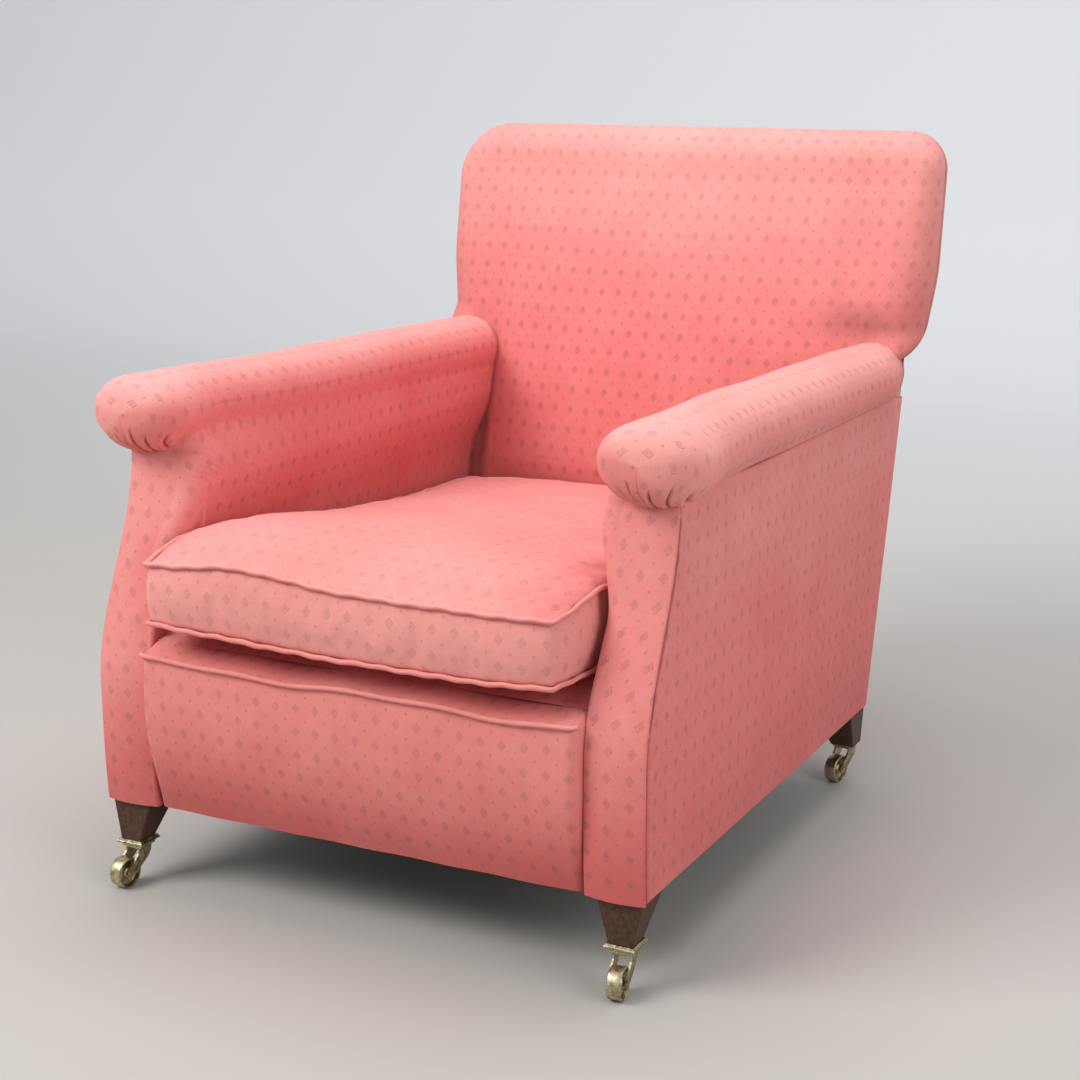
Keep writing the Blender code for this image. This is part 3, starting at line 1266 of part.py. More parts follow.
def build_castor(word, side, foot, swing, plate_thick):
    matrix = castor_matrix(side, foot, swing)
    inner = WHEEL_WIDTH / 2 + CHEEK_CLEARANCE
    outer = inner + CHEEK_THICK
    rise = plate_thick
    bridge = box_mesh((-outer, -YOKE_DEPTH / 2, YOKE_TOP - YOKE_THICK),
                      (outer, YOKE_DEPTH / 2, YOKE_TOP))
    fork = finish("castor_fork_" + word, bridge, BRASS_LOOK, 30)
    outline = cheek_outline()
    add_boolean(fork, plate_mesh(outline, -outer, -inner), "UNION")
    add_boolean(fork, plate_mesh(outline, inner, outer), "UNION")
    pin = cylinder_mesh(PIN_RADIUS, YOKE_TOP - YOKE_THICK / 2, YOKE_TOP + PIN_LENGTH, 12)
    add_boolean(fork, pin, "UNION")
    collar = cylinder_mesh(COLLAR_RADIUS, YOKE_TOP - 0.0005, YOKE_TOP + rise, 12)
    add_boolean(fork, collar, "UNION")
    across = Matrix.Translation((0, -TRAIL, WHEEL_RADIUS)) @ Matrix.Rotation(math.pi / 2, 4, "Y")
    axle = cylinder_mesh(AXLE_RADIUS, -outer - 0.0008, outer + 0.0008, 12, across)
    add_boolean(fork, axle, "UNION")
    fork.matrix_world = matrix
    for modifier in fork.modifiers:
        modifier.object.matrix_world = matrix

    rim = WHEEL_RADIUS / math.cos(math.pi / WHEEL_SIDES)
    half = WHEEL_WIDTH / 2
    bore = AXLE_RADIUS + RUNNING_CLEARANCE
    profile = [(bore, HUB_WIDTH / 2), (HUB_RADIUS, HUB_WIDTH / 2),
               (rim - WHEEL_RIM, WHEEL_WEB / 2), (rim - WHEEL_RIM + 0.0010, half), (rim, half)]
    profile = profile + [(x, -z) for x, z in reversed(profile)] + [profile[0]]
    wheel = turned_mesh(profile, WHEEL_SIDES, math.pi / WHEEL_SIDES)
    wheel.transform(Matrix.Rotation(math.pi / 2, 4, "Y"))
    wheel = finish("castor_wheel_" + word, wheel, BRASS_LOOK, 30)
    wheel.matrix_world = matrix @ Matrix.Translation((0, -TRAIL, WHEEL_RADIUS))


def build_legs():
    for word, side, top, foot, foot_width, foot_z in leg_places():
        build_leg(word, side, top, foot, foot_width, foot_z)
        build_socket(word, side, foot, foot_z)
        front = word.startswith("front")
        swing = FRONT_SWING if front else REAR_SWING
        plate = 0.0100 if front else 0.0024
        space = foot_z - GAP - plate - YOKE_TOP
        build_castor(word, side, foot, swing, space - GAP)


build_frame()
build_blocks()
build_panels()
build_suspension()
build_deck()
build_border()
build_arms()
build_back()
build_cushion()
build_legs()
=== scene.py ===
"""Looks of the sagging old armchair: damask covers, cushion, piping, legs and brass castors.

Metres, +Z up. The chair faces -Y; left and right are the sitter's, so left is +X.
"""

import json
import math

import bmesh
import bpy
import numpy as np
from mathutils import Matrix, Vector


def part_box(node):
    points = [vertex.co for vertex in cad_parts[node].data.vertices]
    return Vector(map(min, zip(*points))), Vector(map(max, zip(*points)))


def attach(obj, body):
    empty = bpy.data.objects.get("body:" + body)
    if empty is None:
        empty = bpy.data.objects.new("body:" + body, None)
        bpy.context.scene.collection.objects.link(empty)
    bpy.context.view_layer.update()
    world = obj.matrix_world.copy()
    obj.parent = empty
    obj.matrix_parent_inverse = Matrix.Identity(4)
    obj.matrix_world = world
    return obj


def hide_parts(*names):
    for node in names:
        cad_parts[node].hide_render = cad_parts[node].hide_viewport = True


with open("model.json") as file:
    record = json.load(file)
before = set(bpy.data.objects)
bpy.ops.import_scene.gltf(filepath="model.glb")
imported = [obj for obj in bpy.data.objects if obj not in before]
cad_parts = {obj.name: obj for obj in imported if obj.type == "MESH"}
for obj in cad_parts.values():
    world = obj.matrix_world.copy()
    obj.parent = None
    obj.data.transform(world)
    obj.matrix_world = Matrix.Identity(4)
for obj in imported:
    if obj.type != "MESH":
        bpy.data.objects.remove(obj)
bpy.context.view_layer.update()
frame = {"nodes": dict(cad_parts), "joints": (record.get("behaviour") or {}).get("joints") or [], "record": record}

SIDES = ("left", "right")


# Outside arm panels
# Damask over hessian, stretched flat on the outside of each arm and slip-stitched by hand
# to the arm front along an S-shaped edge and to the underside of the roll.

PANEL_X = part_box("outside_arm_left")[1].x
CLOTH_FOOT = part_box("outside_arm_left")[0].z
PANEL_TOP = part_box("outside_arm_left")[1].z
FOOT_REAR_Y = 0.269
REAR_RAKE = 0.262
FRONT_LOW_Y = -0.4875
FRONT_HIGH_Y = -0.408
SEAM_ROUND = 0.0045
SEAM_SINK = 0.004
SEAM_SHARPNESS = 0.0012
PANEL_FRONT_GAP = 0.0056
PANEL_PUFF = 0.0022

MOTIF_ACROSS = 0.0265
MOTIF_ALONG = 0.0295
MOTIF_HALF_WIDTH = 0.0053
MOTIF_HALF_HEIGHT = 0.0068
SPRIG_SHARE = 0.36
RIDGE_STOPS = ((0, 0), (0.1, 0), (0.16, 0.9), (0.26, 0.9), (0.32, 0), (0.6, 0),
               (0.68, 1), (0.84, 1), (0.92, 0))
DARK_STOPS = ((0, 1), (0.08, 1), (0.13, 0), (0.26, 0), (0.32, 0.6), (0.38, 0),
              (0.54, 0), (0.6, 0.8), (0.68, 0), (0.86, 0), (0.91, 1), (0.97, 1), (1, 0))
BODY_STOPS = ((0, 1), (0.93, 1), (1, 0))
SPRIG_STOPS = ((0, 0), (0.4, 0), (0.5, 1), (0.8, 1), (0.9, 0))
SPRIG_DARK_STOPS = ((0, 0.9), (0.35, 0.9), (0.5, 0.1), (0.8, 0.1), (0.88, 0.8), (0.95, 0.8),
                    (1, 0))
ROSE = (0.66, 0.112, 0.11)
# Pale rose: the colour of faded cloth, and, as painted light, the colour of lit cloth.
FADED_AND_LIT_ROSE = (0.845, 0.345, 0.318)
# Dark rose for soiled cloth and for painted shade.
SOIL_AND_SHADE_ROSE = (0.15, 0.026, 0.024)
FIGURE_ROSE = (0.4, 0.034, 0.036)
# Painted highlight colour for the sheen on the raised satin ridges.
RIDGE_HIGHLIGHT_ROSE = (0.94, 0.47, 0.43)


def unit(value):
    """Value held between 0 and 1."""
    return np.clip(value, 0, 1)


def smooth(value, low, high):
    """0 below low, 1 above high, and the cubic 3t^2 - 2t^3 between."""
    t = unit((value - low) / (high - low))
    return t * t * (3 - 2 * t)


def fall(value, low, high):
    """1 below low, 0 above high: smooth turned over."""
    return 1 - smooth(value, low, high)


def bell(value, middle, width):
    """1 at the middle, 0.37 at one width from it."""
    return np.exp(-((value - middle) / width) ** 2)


def front_line(z):
    """S-shaped front edge of the arms: y from low to high by a smooth step between z .26 and .53,
    drawn back 4 mm at the foot."""
    foot = unit((0.2 - z) / (0.2 - CLOTH_FOOT))
    return FRONT_LOW_Y + (FRONT_HIGH_Y - FRONT_LOW_Y) * smooth(z, 0.26, 0.53) + 0.004 * foot ** 2


def rear_line(z):
    """Straight raked line of the outside back."""
    return FOOT_REAR_Y + REAR_RAKE * (z - CLOTH_FOOT)


def seam_line(y):
    """Height of the seam under the roll: a hand-sewn line that rises at the front, dips at the rear."""
    return PANEL_TOP + 0.001 + 0.011 * smooth(-y, 0.16, 0.35) - 0.006 * smooth(y, 0.32, 0.38)


def roundness(distance, radius):
    """Quarter-circle rise from 0 at an edge to 1 at one radius inside it."""
    t = unit(1 - distance / radius)
    return np.sqrt(unit(1 - t * t))


class Nodes:
    """Short hand for the node tree of one material."""

    def __init__(self, name):
        self.material = bpy.data.materials.new(name)
        self.material.use_nodes = True
        self.tree = self.material.node_tree
        self.shader = self.tree.nodes["Principled BSDF"]

    def add(self, kind, **values):
        node = self.tree.nodes.new("ShaderNode" + kind)
        for key, value in values.items():
            setattr(node, key, value)
        return node

    def link(self, source, target):
        self.tree.links.new(source, target)

    def put(self, value, socket):
        if isinstance(value, bpy.types.NodeSocket):
            self.link(value, socket)
        else:
            socket.default_value = value

    def feed(self, kind, output, **inputs):
        """Node of a kind with its inputs set or linked; From_Min stands for the input From Min."""
        node = self.add(kind)
        for name, value in inputs.items():
            self.put(value, node.inputs[name.replace("_", " ")])
        return node.outputs[output]

    def shade(self, name, value):
        """Set or link an input of the material's shader."""
        self.put(value, self.shader.inputs[name])

    def place(self):
        """Place on the object, in metres."""
        return self.add("TexCoord").outputs["Object"]

    def split(self, vector):
        node = self.add("SeparateXYZ")
        self.link(vector, node.inputs[0])
        return node.outputs

    def math(self, operation, a, b=0.0, clamp=False):
        node = self.add("Math", operation=operation, use_clamp=clamp)
        self.put(a, node.inputs[0])
        self.put(b, node.inputs[1])
        return node.outputs[0]

    def noise(self, vector, scale, detail=3.0, roughness=0.55):
        return self.feed("TexNoise", "Fac", Vector=vector, Scale=scale, Detail=detail,
                         Roughness=roughness)

    def stretch(self, vector, scale):
        return self.feed("Mapping", "Vector", Vector=vector, Scale=scale)

    def ramp(self, value, stops):
        """Value through a list of (position, level) stops, straight between them."""
        node = self.add("ValToRGB")
        elements = node.color_ramp.elements
        while len(elements) < len(stops):
            elements.new(0.5)
        for element, (place, level) in zip(elements, stops):
            element.position = place
            element.color = (level, level, level, 1)
        self.link(value, node.inputs["Fac"])
        return node.outputs["Color"]

    def range(self, value, low, high, to_low=0.0, to_high=1.0):
        return self.feed("MapRange", "Result", Value=value, From_Min=low, From_Max=high,
                         To_Min=to_low, To_Max=to_high)

    def mix(self, share, a, b, blend="MIX"):
        node = self.add("Mix", data_type="RGBA", blend_type=blend)
        self.put(share, node.inputs[0])
        for value, socket in ((a, node.inputs[6]), (b, node.inputs[7])):
            self.put((*value, 1) if isinstance(value, tuple) else value, socket)
        return node.outputs[2]

    def bump(self, height, distance, strength=1.0, **normal):
        return self.feed("Bump", "Normal", Height=height, Distance=distance, Strength=strength,
                         **normal)


def diamonds(n, u, v, shift, share):
    """Distance from the middle of the nearest diamond: 0 in the middle, 1 at its rim."""
    parts = []
    for coordinate, pitch, half in ((u, MOTIF_ACROSS, MOTIF_HALF_WIDTH),
                                    (v, MOTIF_ALONG, MOTIF_HALF_HEIGHT)):
        cell = n.math("FRACT", n.math("ADD", n.math("DIVIDE", coordinate, pitch), shift))
        offset = n.math("ABSOLUTE", n.math("SUBTRACT", cell, 0.5))
        parts.append(n.math("MULTIPLY", offset, pitch / (half * share)))
    return n.math("ADD", parts[0], parts[1])


def rose_damask(name, motif_depth=1.0):
    """Old rose damask: small concentric diamonds with a sprig between each four, in satin on a
    ribbed ground. It is paler where the attribute 'fade' is high, which holds real fading
    together with painted light and shade, and darker where 'soil' is high, which
    holds soiling together with painted shade."""
    n = Nodes(name)
    cloth = n.add("UVMap", uv_map="cloth").outputs["UV"]
    place = n.place()
    split = n.split(cloth)
    u, v = split["X"], split["Y"]
    motif = diamonds(n, u, v, 0.0, 1.0)
    sprig = diamonds(n, u, v, 0.5, SPRIG_SHARE)
    ridge = n.math("MAXIMUM", n.ramp(motif, RIDGE_STOPS), n.ramp(sprig, SPRIG_STOPS))
    figure = n.math("MAXIMUM", n.ramp(motif, DARK_STOPS), n.ramp(sprig, SPRIG_DARK_STOPS))
    threads = n.noise(n.stretch(cloth, (420.0, 1500.0, 1.0)), 1.0, 2.0, 0.6)
    slubs = n.noise(n.stretch(cloth, (60.0, 900.0, 1.0)), 1.0, 3.0, 0.6)
    cloudy = n.noise(place, 7.0, 3.0, 0.5)
    worn = n.noise(place, 38.0, 5.0, 0.65)
    # 'fade' holds fading together with painted light and shade: high where the cloth is lit, low where it is in
    # shade.
    fade = n.add("Attribute", attribute_name="fade").outputs["Fac"]
    # 'soil' holds soiling together with painted shade in seams, creases, joins and corners.
    soil = n.add("Attribute", attribute_name="soil").outputs["Fac"]
    patchy_fade_and_light = n.math("ADD", fade, n.math("MULTIPLY", n.math("SUBTRACT", cloudy, 0.5), 0.45))
    patchy_fade_and_light = n.math("ADD", patchy_fade_and_light, n.math("MULTIPLY", n.math("SUBTRACT", worn, 0.5), 0.3), True)
    # Deep rose for shaded and unfaded cloth, pale rose for lit and faded cloth: painted light and shade mixed with
    # fading.
    ground = n.mix(patchy_fade_and_light, ROSE, FADED_AND_LIT_ROSE)
    thread_tone = n.range(n.math("ADD", threads, slubs), 0.6, 1.4, 0.9, 1.08)
    ground = n.mix(1.0, ground, thread_tone, "MULTIPLY")
    # The diamonds are drawn stronger and filled darker where the cloth is in painted shade and where it is
    # unfaded.
    unfaded_and_shaded = n.range(patchy_fade_and_light, 0.25, 0.75, 1.35, 0.7)
    body = n.math("MULTIPLY", n.ramp(motif, BODY_STOPS), n.range(patchy_fade_and_light, 0.25, 0.75, 0.45, 0.05))
    figure = n.math("MAXIMUM", figure, body)
    strength = n.math("MULTIPLY", n.range(worn, 0.25, 0.65, 0.6, 1.0), 0.64 * motif_depth)
    strength = n.math("MULTIPLY", strength, unfaded_and_shaded)
    figured_cloth = n.mix(n.math("MULTIPLY", figure, strength, True), ground, FIGURE_ROSE)
    # Painted highlight: the raised ridges are drawn paler for the sheen of their satin.
    figured_cloth = n.mix(n.math("MULTIPLY", ridge, 0.34 * motif_depth), figured_cloth, RIDGE_HIGHLIGHT_ROSE)
    # Darkened unevenly by soiling and painted shade.
    soiled_and_shaded = n.math("MULTIPLY", soil, n.range(worn, 0.3, 0.7, 0.5, 1.0), True)
    n.shade("Base Color", n.mix(soiled_and_shaded, figured_cloth, SOIL_AND_SHADE_ROSE))
    n.shade("Roughness", n.range(figure, 0.0, 1.0, 0.86, 0.62))
    n.shade("Sheen Weight", 0.18)
    n.shade("Sheen Roughness", 0.45)
    n.shade("Sheen Tint", (1.0, 0.72, 0.68, 1))
    n.shade("Specular IOR Level", 0.35)
    weave = n.bump(n.math("ADD", threads, n.math("MULTIPLY", slubs, 0.8)), 0.00022)
    n.shade("Normal", n.bump(ridge, 0.00075 * motif_depth, Normal=weave))
    return n.material


DAMASK = rose_damask("rose_damask")


def grid_mesh(name, points, material, around=False, reverse=False):
    """Mesh of quads through a grid of points; around joins the last column to the first."""
    rows, columns = points.shape[:2]
    index = np.arange(rows * columns).reshape(rows, columns)
    if around:
        index = np.concatenate([index, index[:, :1]], axis=1)
    quads = np.stack([index[:-1, :-1], index[:-1, 1:], index[1:, 1:], index[1:, :-1]], -1)
    quads = quads.reshape(-1, 4)
    if reverse:
        quads = quads[:, ::-1]
    mesh = bpy.data.meshes.new(name)
    mesh.from_pydata(points.reshape(-1, 3), [], quads.tolist())
    mesh.materials.append(material)
    return mesh


def new_object(name, data):
    """Object for a mesh, a lamp or the camera, put in the scene."""
    thing = bpy.data.objects.new(name, data)
    bpy.context.scene.collection.objects.link(thing)
    return thing


def surface(name, points, cloth, fade, soil, material, body="chair", around=False, flip=False,
            mirror=False):
    """Piece through a grid of points (rows, columns, 3), with its place on the cloth in metres as
    the UV map 'cloth', and as attributes how pale it is from fading and painted light and shade
    ('fade') and how dark it is from soiling and painted shade ('soil'). Doubled points
    are welded so that seams and poles close."""
    shape = points.shape[:2]
    if mirror:
        points = points * [-1, 1, 1]
    mesh = grid_mesh(name, points, material, around, flip != mirror)
    cloth = np.broadcast_to(cloth, (*shape, 2)).reshape(-1, 2)
    loops = np.zeros(len(mesh.loops), dtype=np.int32)
    mesh.loops.foreach_get("vertex_index", loops)
    uv = mesh.uv_layers.new(name="cloth")
    uv.uv.foreach_set("vector", cloth[loops].astype(np.float32).ravel())
    for key, value in (("fade", fade), ("soil", soil)):
        attribute = mesh.attributes.new(key, "FLOAT", "POINT")
        attribute.data.foreach_set("value", np.broadcast_to(value, shape).astype(np.float32).ravel())
    weld = bmesh.new()
    weld.from_mesh(mesh)
    bmesh.ops.remove_doubles(weld, verts=weld.verts, dist=1e-6)
    bmesh.ops.dissolve_degenerate(weld, dist=1e-7, edges=weld.edges)
    weld.to_mesh(mesh)
    weld.free()
    mesh.shade_smooth()
    piece = new_object(name, mesh)
    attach(piece, body)
    return piece


def spread_to_ends(count, pull):
    """count numbers from 0 to 1, crowded towards both ends by pull."""
    t = np.linspace(-1, 1, count)
    return 0.5 + 0.5 * ((1 - pull) * t + pull * np.sin(t * np.pi / 2))


def outside_arm_points():
    """x is the panel plane, puffed in the middle and rounded over its four edges; y runs from the
    front line to the rear line, z from the foot of the cloth to the seam line."""
    along, up = np.meshgrid(spread_to_ends(120, 0.85), spread_to_ends(80, 0.85))
    z = CLOTH_FOOT + (PANEL_TOP - CLOTH_FOOT) * up
    front = front_line(z) + PANEL_FRONT_GAP
    y = front + (rear_line(z) - front) * along
    z = CLOTH_FOOT + (seam_line(y) - CLOTH_FOOT) * up
    inside = np.minimum(np.minimum(y - front, rear_line(z) - y),
                        np.minimum(z - CLOTH_FOOT, seam_line(y) - z))
    pucker = 0.0005 * np.sin(y * 300 + 2 * np.sin(y * 70)) * np.exp(-(seam_line(y) - z) / 0.012)
    pucker = pucker + 0.0006 * np.sin(z * 260 + 3 * np.sin(z * 50)) * np.exp(-(y - front) / 0.01)
    puff = PANEL_PUFF * np.sin(np.pi * along) ** 0.5 * np.sin(np.pi * up) ** 0.5
    x = PANEL_X - SEAM_ROUND + SEAM_ROUND * roundness(inside, SEAM_ROUND * 1.3) + puff + pucker
    x = x - SEAM_SINK * np.exp(-inside / SEAM_SHARPNESS)
    return np.stack([x, y, z], -1)


for side in SIDES:
    points = outside_arm_points()
    y, z = points[..., 1], points[..., 2]
    # Painted light: paler towards the top and less pale towards the foot, which is also darkened.
    low = fall(z, 0.1, 0.3)
    # Painted shade: a dark line in the groove along the front seam and under the top seam.
    seam_shade = 0.7 * (y - front_line(z) < 0.0068) + 0.6 * (seam_line(y) - z < 0.0022)
    piece = surface("outside_arm_cloth_" + side, points, np.stack([y, z], -1),
                    0.3 + 0.25 * smooth(z, 0.3, 0.54) - 0.12 * low, 0.16 * low + seam_shade, DAMASK,
                    mirror=side == "right")
    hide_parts("outside_arm_" + side)


# Arm fronts
# One width of damask is drawn over the padded front of the arm post and round its soft inner
# corner on to the inside of the arm, where it runs under the cloth of the roll.

ARM_INNER_LOW = 0.286
ARM_INNER_HIGH = 0.264
CORNER_ROUND = 0.028
CORNER_TIGHT = 0.004
INNER_SWELL = 0.002
UNDER_NOSE = 0.005
ROLL_SPLAY = 0.014
NOSE_SWELL = 0.0072
FRONT_SWELL = 0.005
UNDER_ROLL_Y = -0.26
GATHER_Y = -0.405
GATHER_Z = 0.52
SEAM_LIP = 0.0012


def running_length(axis, *coordinates):
    """Length of the way along one axis of grids of coordinates, from 0 at its start."""
    steps = np.sqrt(sum(np.diff(part, axis=axis) ** 2 for part in coordinates))
    return np.concatenate([0 * steps.take([0], axis), np.cumsum(steps, axis=axis)], axis=axis)


def inner_line(z):
    """x of the inside of the arm: 22 mm further in above the cushion than beside it."""
    return ARM_INNER_LOW + (ARM_INNER_HIGH - ARM_INNER_LOW) * smooth(z, 0.4, 0.5)


def corner_radius(z):
    """The inner corner is tight beside the seat front and soft above the cushion."""
    return CORNER_TIGHT + (CORNER_ROUND - CORNER_TIGHT) * smooth(z, 0.3, 0.42)


def inside_x(y, z):
    """x of the inside of the arm at a depth y: swollen a little near the front, leaning out
    with the splayed roll above it, and round the inner corner a quarter circle to the front."""
    radius = corner_radius(z)
    swell = INNER_SWELL * smooth(-y, 0.26, 0.36) * smooth(z, 0.33, 0.42)
    lean = ROLL_SPLAY * smooth(-y, 0.15, 0.4) - NOSE_SWELL * smooth(-y, 0.32, 0.4)
    lean = lean + UNDER_NOSE * smooth(-y, 0.335, 0.385)
    swell = swell - lean * smooth(z, 0.505, 0.562)
    ahead = unit((front_line(z) + radius - y) / radius)
    return inner_line(z) - swell + radius * (1 - np.sqrt(1 - ahead ** 2))


def inside_painted_light(y, z):
    """Painted light and shade on the inside of an arm: darker towards the seat, paler towards the front."""
    return 0.16 + 0.14 * smooth(z, 0.38, 0.52) + 0.22 * smooth(-y, 0.3, 0.42)


def pull_folds(y, z):
    """Fine slanting folds where the cloth is pulled from the gather under the nose to the inside."""
    reach = np.hypot(y - GATHER_Y, z - GATHER_Z)
    across = (z - GATHER_Z) + 0.45 * (y - GATHER_Y)
    band = smooth(reach, 0.004, 0.015) * fall(reach, 0.03, 0.062)
    low = bell(z, 0.512, 0.022)
    return 0.001 * band * low * np.sin(across * 820 + 25 * reach)


def arm_front_points():
    """Path at each height: out of the seam, across the swollen front, round the inner corner and
    back along the inside of the arm. Heights run from the foot to under the nose."""
    z = np.linspace(CLOTH_FOOT, PANEL_TOP + 0.03, 170)[:, None]
    seam, flat, corner, back = [np.linspace(0, 1, n)[None, :] for n in (12, 40, 30, 50)]
    radius = corner_radius(z)
    front = front_line(z)
    inner = inside_x(front + radius, z)
    edge = PANEL_X + 0.0002
    seam_x = edge - SEAM_SINK * (1 - seam) ** 3 - SEAM_LIP * seam
    seam_y = front + 0.0052 * (1 - seam) + 0 * z
    flat_x = (edge - SEAM_LIP) + (inner + radius - edge + SEAM_LIP) * flat
    flat_y = front - FRONT_SWELL * np.sin(np.pi * flat) ** 0.9 + 0 * z
    turn = np.pi / 2 * corner
    corner_y = front + radius * (1 - np.cos(turn))
    back_y = front + radius + (UNDER_ROLL_Y - front - radius) * back
    sink = -0.0004 + 0.002 * smooth(back_y, -0.35, -0.32)
    sink = sink + 0.003 * smooth(z, 0.535, 0.555) * smooth(back_y, -0.385, -0.35)
    corner_x = inner + radius * (1 - np.sin(turn)) - 0.0004
    back_x = inside_x(back_y, z) + sink
    x = np.concatenate([seam_x + 0 * z, flat_x[:, 1:], corner_x[:, 1:], back_x[:, 1:]], axis=1)
    y = np.concatenate([seam_y, flat_y[:, 1:], corner_y[:, 1:], back_y[:, 1:]], axis=1)
    inner_part = np.ones((1, corner_x.shape[1] + back_x.shape[1] - 2))
    inward = np.concatenate([0 * seam, flat[:, 1:] ** 6, inner_part], axis=1)
    x = x - pull_folds(y, z) * inward
    length = running_length(1, x, y)
    path = UNDER_ROLL_Y - (length[:, -1:] - length)
    return np.stack([x, y, z + 0 * x], -1), np.stack([path, z + 0 * path], -1)


for side in SIDES:
    points, cloth = arm_front_points()
    y, z = points[..., 1], points[..., 2]
    inside = smooth(y, -0.43, -0.37)
    light = 0.52 + 0.18 * smooth(z, 0.38, 0.5) - 0.4 * fall(z, 0.1, 0.3)
    light = light * (1 - inside) + inside_painted_light(y, z) * inside
    # Darker towards the foot; a thin band under the nose of the roll is painted shade with some soiling.
    darkening = 0.26 * fall(z, 0.1, 0.26) + 0.45 * bell(z, 0.532, 0.006) * (1 - inside)
    # Painted shade on the inside of the arm just above the cushion.
    darkening += 0.2 * fall(z, 0.38, 0.46) * smooth(z, 0.3, 0.38) * inside
    # Painted shade along the seam with the outside panel.
    darkening += 0.75 * (np.arange(points.shape[1]) < 3)
    piece = surface("arm_front_cloth_" + side, points, cloth, light, darkening, DAMASK,
                    flip=True, mirror=side == "right")
    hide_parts("arm_facing_" + side)


# Arm rolls
# The inside cloth runs from the seat up over the hair-stuffed roll to the seam outside; its
# front end is drawn round the nose and folded into pleats that meet under it.

ROLL_X = 0.3175
ROLL_HALF_WIDTH = 0.0565
ROLL_HALF_HEIGHT = 0.0475
ROLL_TOP = 0.622
ROLL_FALL = 0.026
ROLL_BLEND = 0.006
NOSE_BASE_Y = -0.395
NOSE_LENGTH = 0.0655
NOSE_LIFT = 0.006
NOSE_BLUNTNESS = 0.75
NOSE_RINGS = 84
BODY_RING = 150
ROLL_REAR_Y = 0.42
REAR_PART_Y = 0.25
SEAT_SIDE_FOOT = 0.3
BOARD_TOP = 0.5
BOARD_COLUMNS = 40
ROLL_COLUMN = 80
OUTER_COLUMN = 140
RING_COLUMNS = 300
BACK_FOOT_Y = 0.303
BACK_FOOT_Z = 0.378
BACK_RAKE = 0.273
PLEAT_PLACES = (-0.92, -0.55, -0.2, 0.24, 0.66, 1.0)
PLEAT_FOOT_SPREAD = 0.37
PLEAT_TOP_SPREAD = 0.98
PLEAT_HEIGHT = 0.36
PLEAT_DEPTH = 0.0044


def roll_centre(y):
    x = ROLL_X + ROLL_SPLAY * smooth(-y, 0.15, 0.4)
    z = ROLL_TOP - ROLL_FALL * (np.maximum(y, NOSE_BASE_Y) + 0.345) - ROLL_HALF_HEIGHT
    return x, z + NOSE_LIFT * smooth(-y, 0.395, 0.455)


def back_plane(z):
    """Raked plane on which the back is stuffed."""
    return BACK_FOOT_Y + BACK_RAKE * (z - BACK_FOOT_Z)


def arm_end(x, z):
    """Rear end of an arm against the back, slanting backwards outside."""
    return back_plane(z) + 0.4 * np.maximum(0, np.abs(x) - 0.27) * smooth(z, 0.42, 0.54)


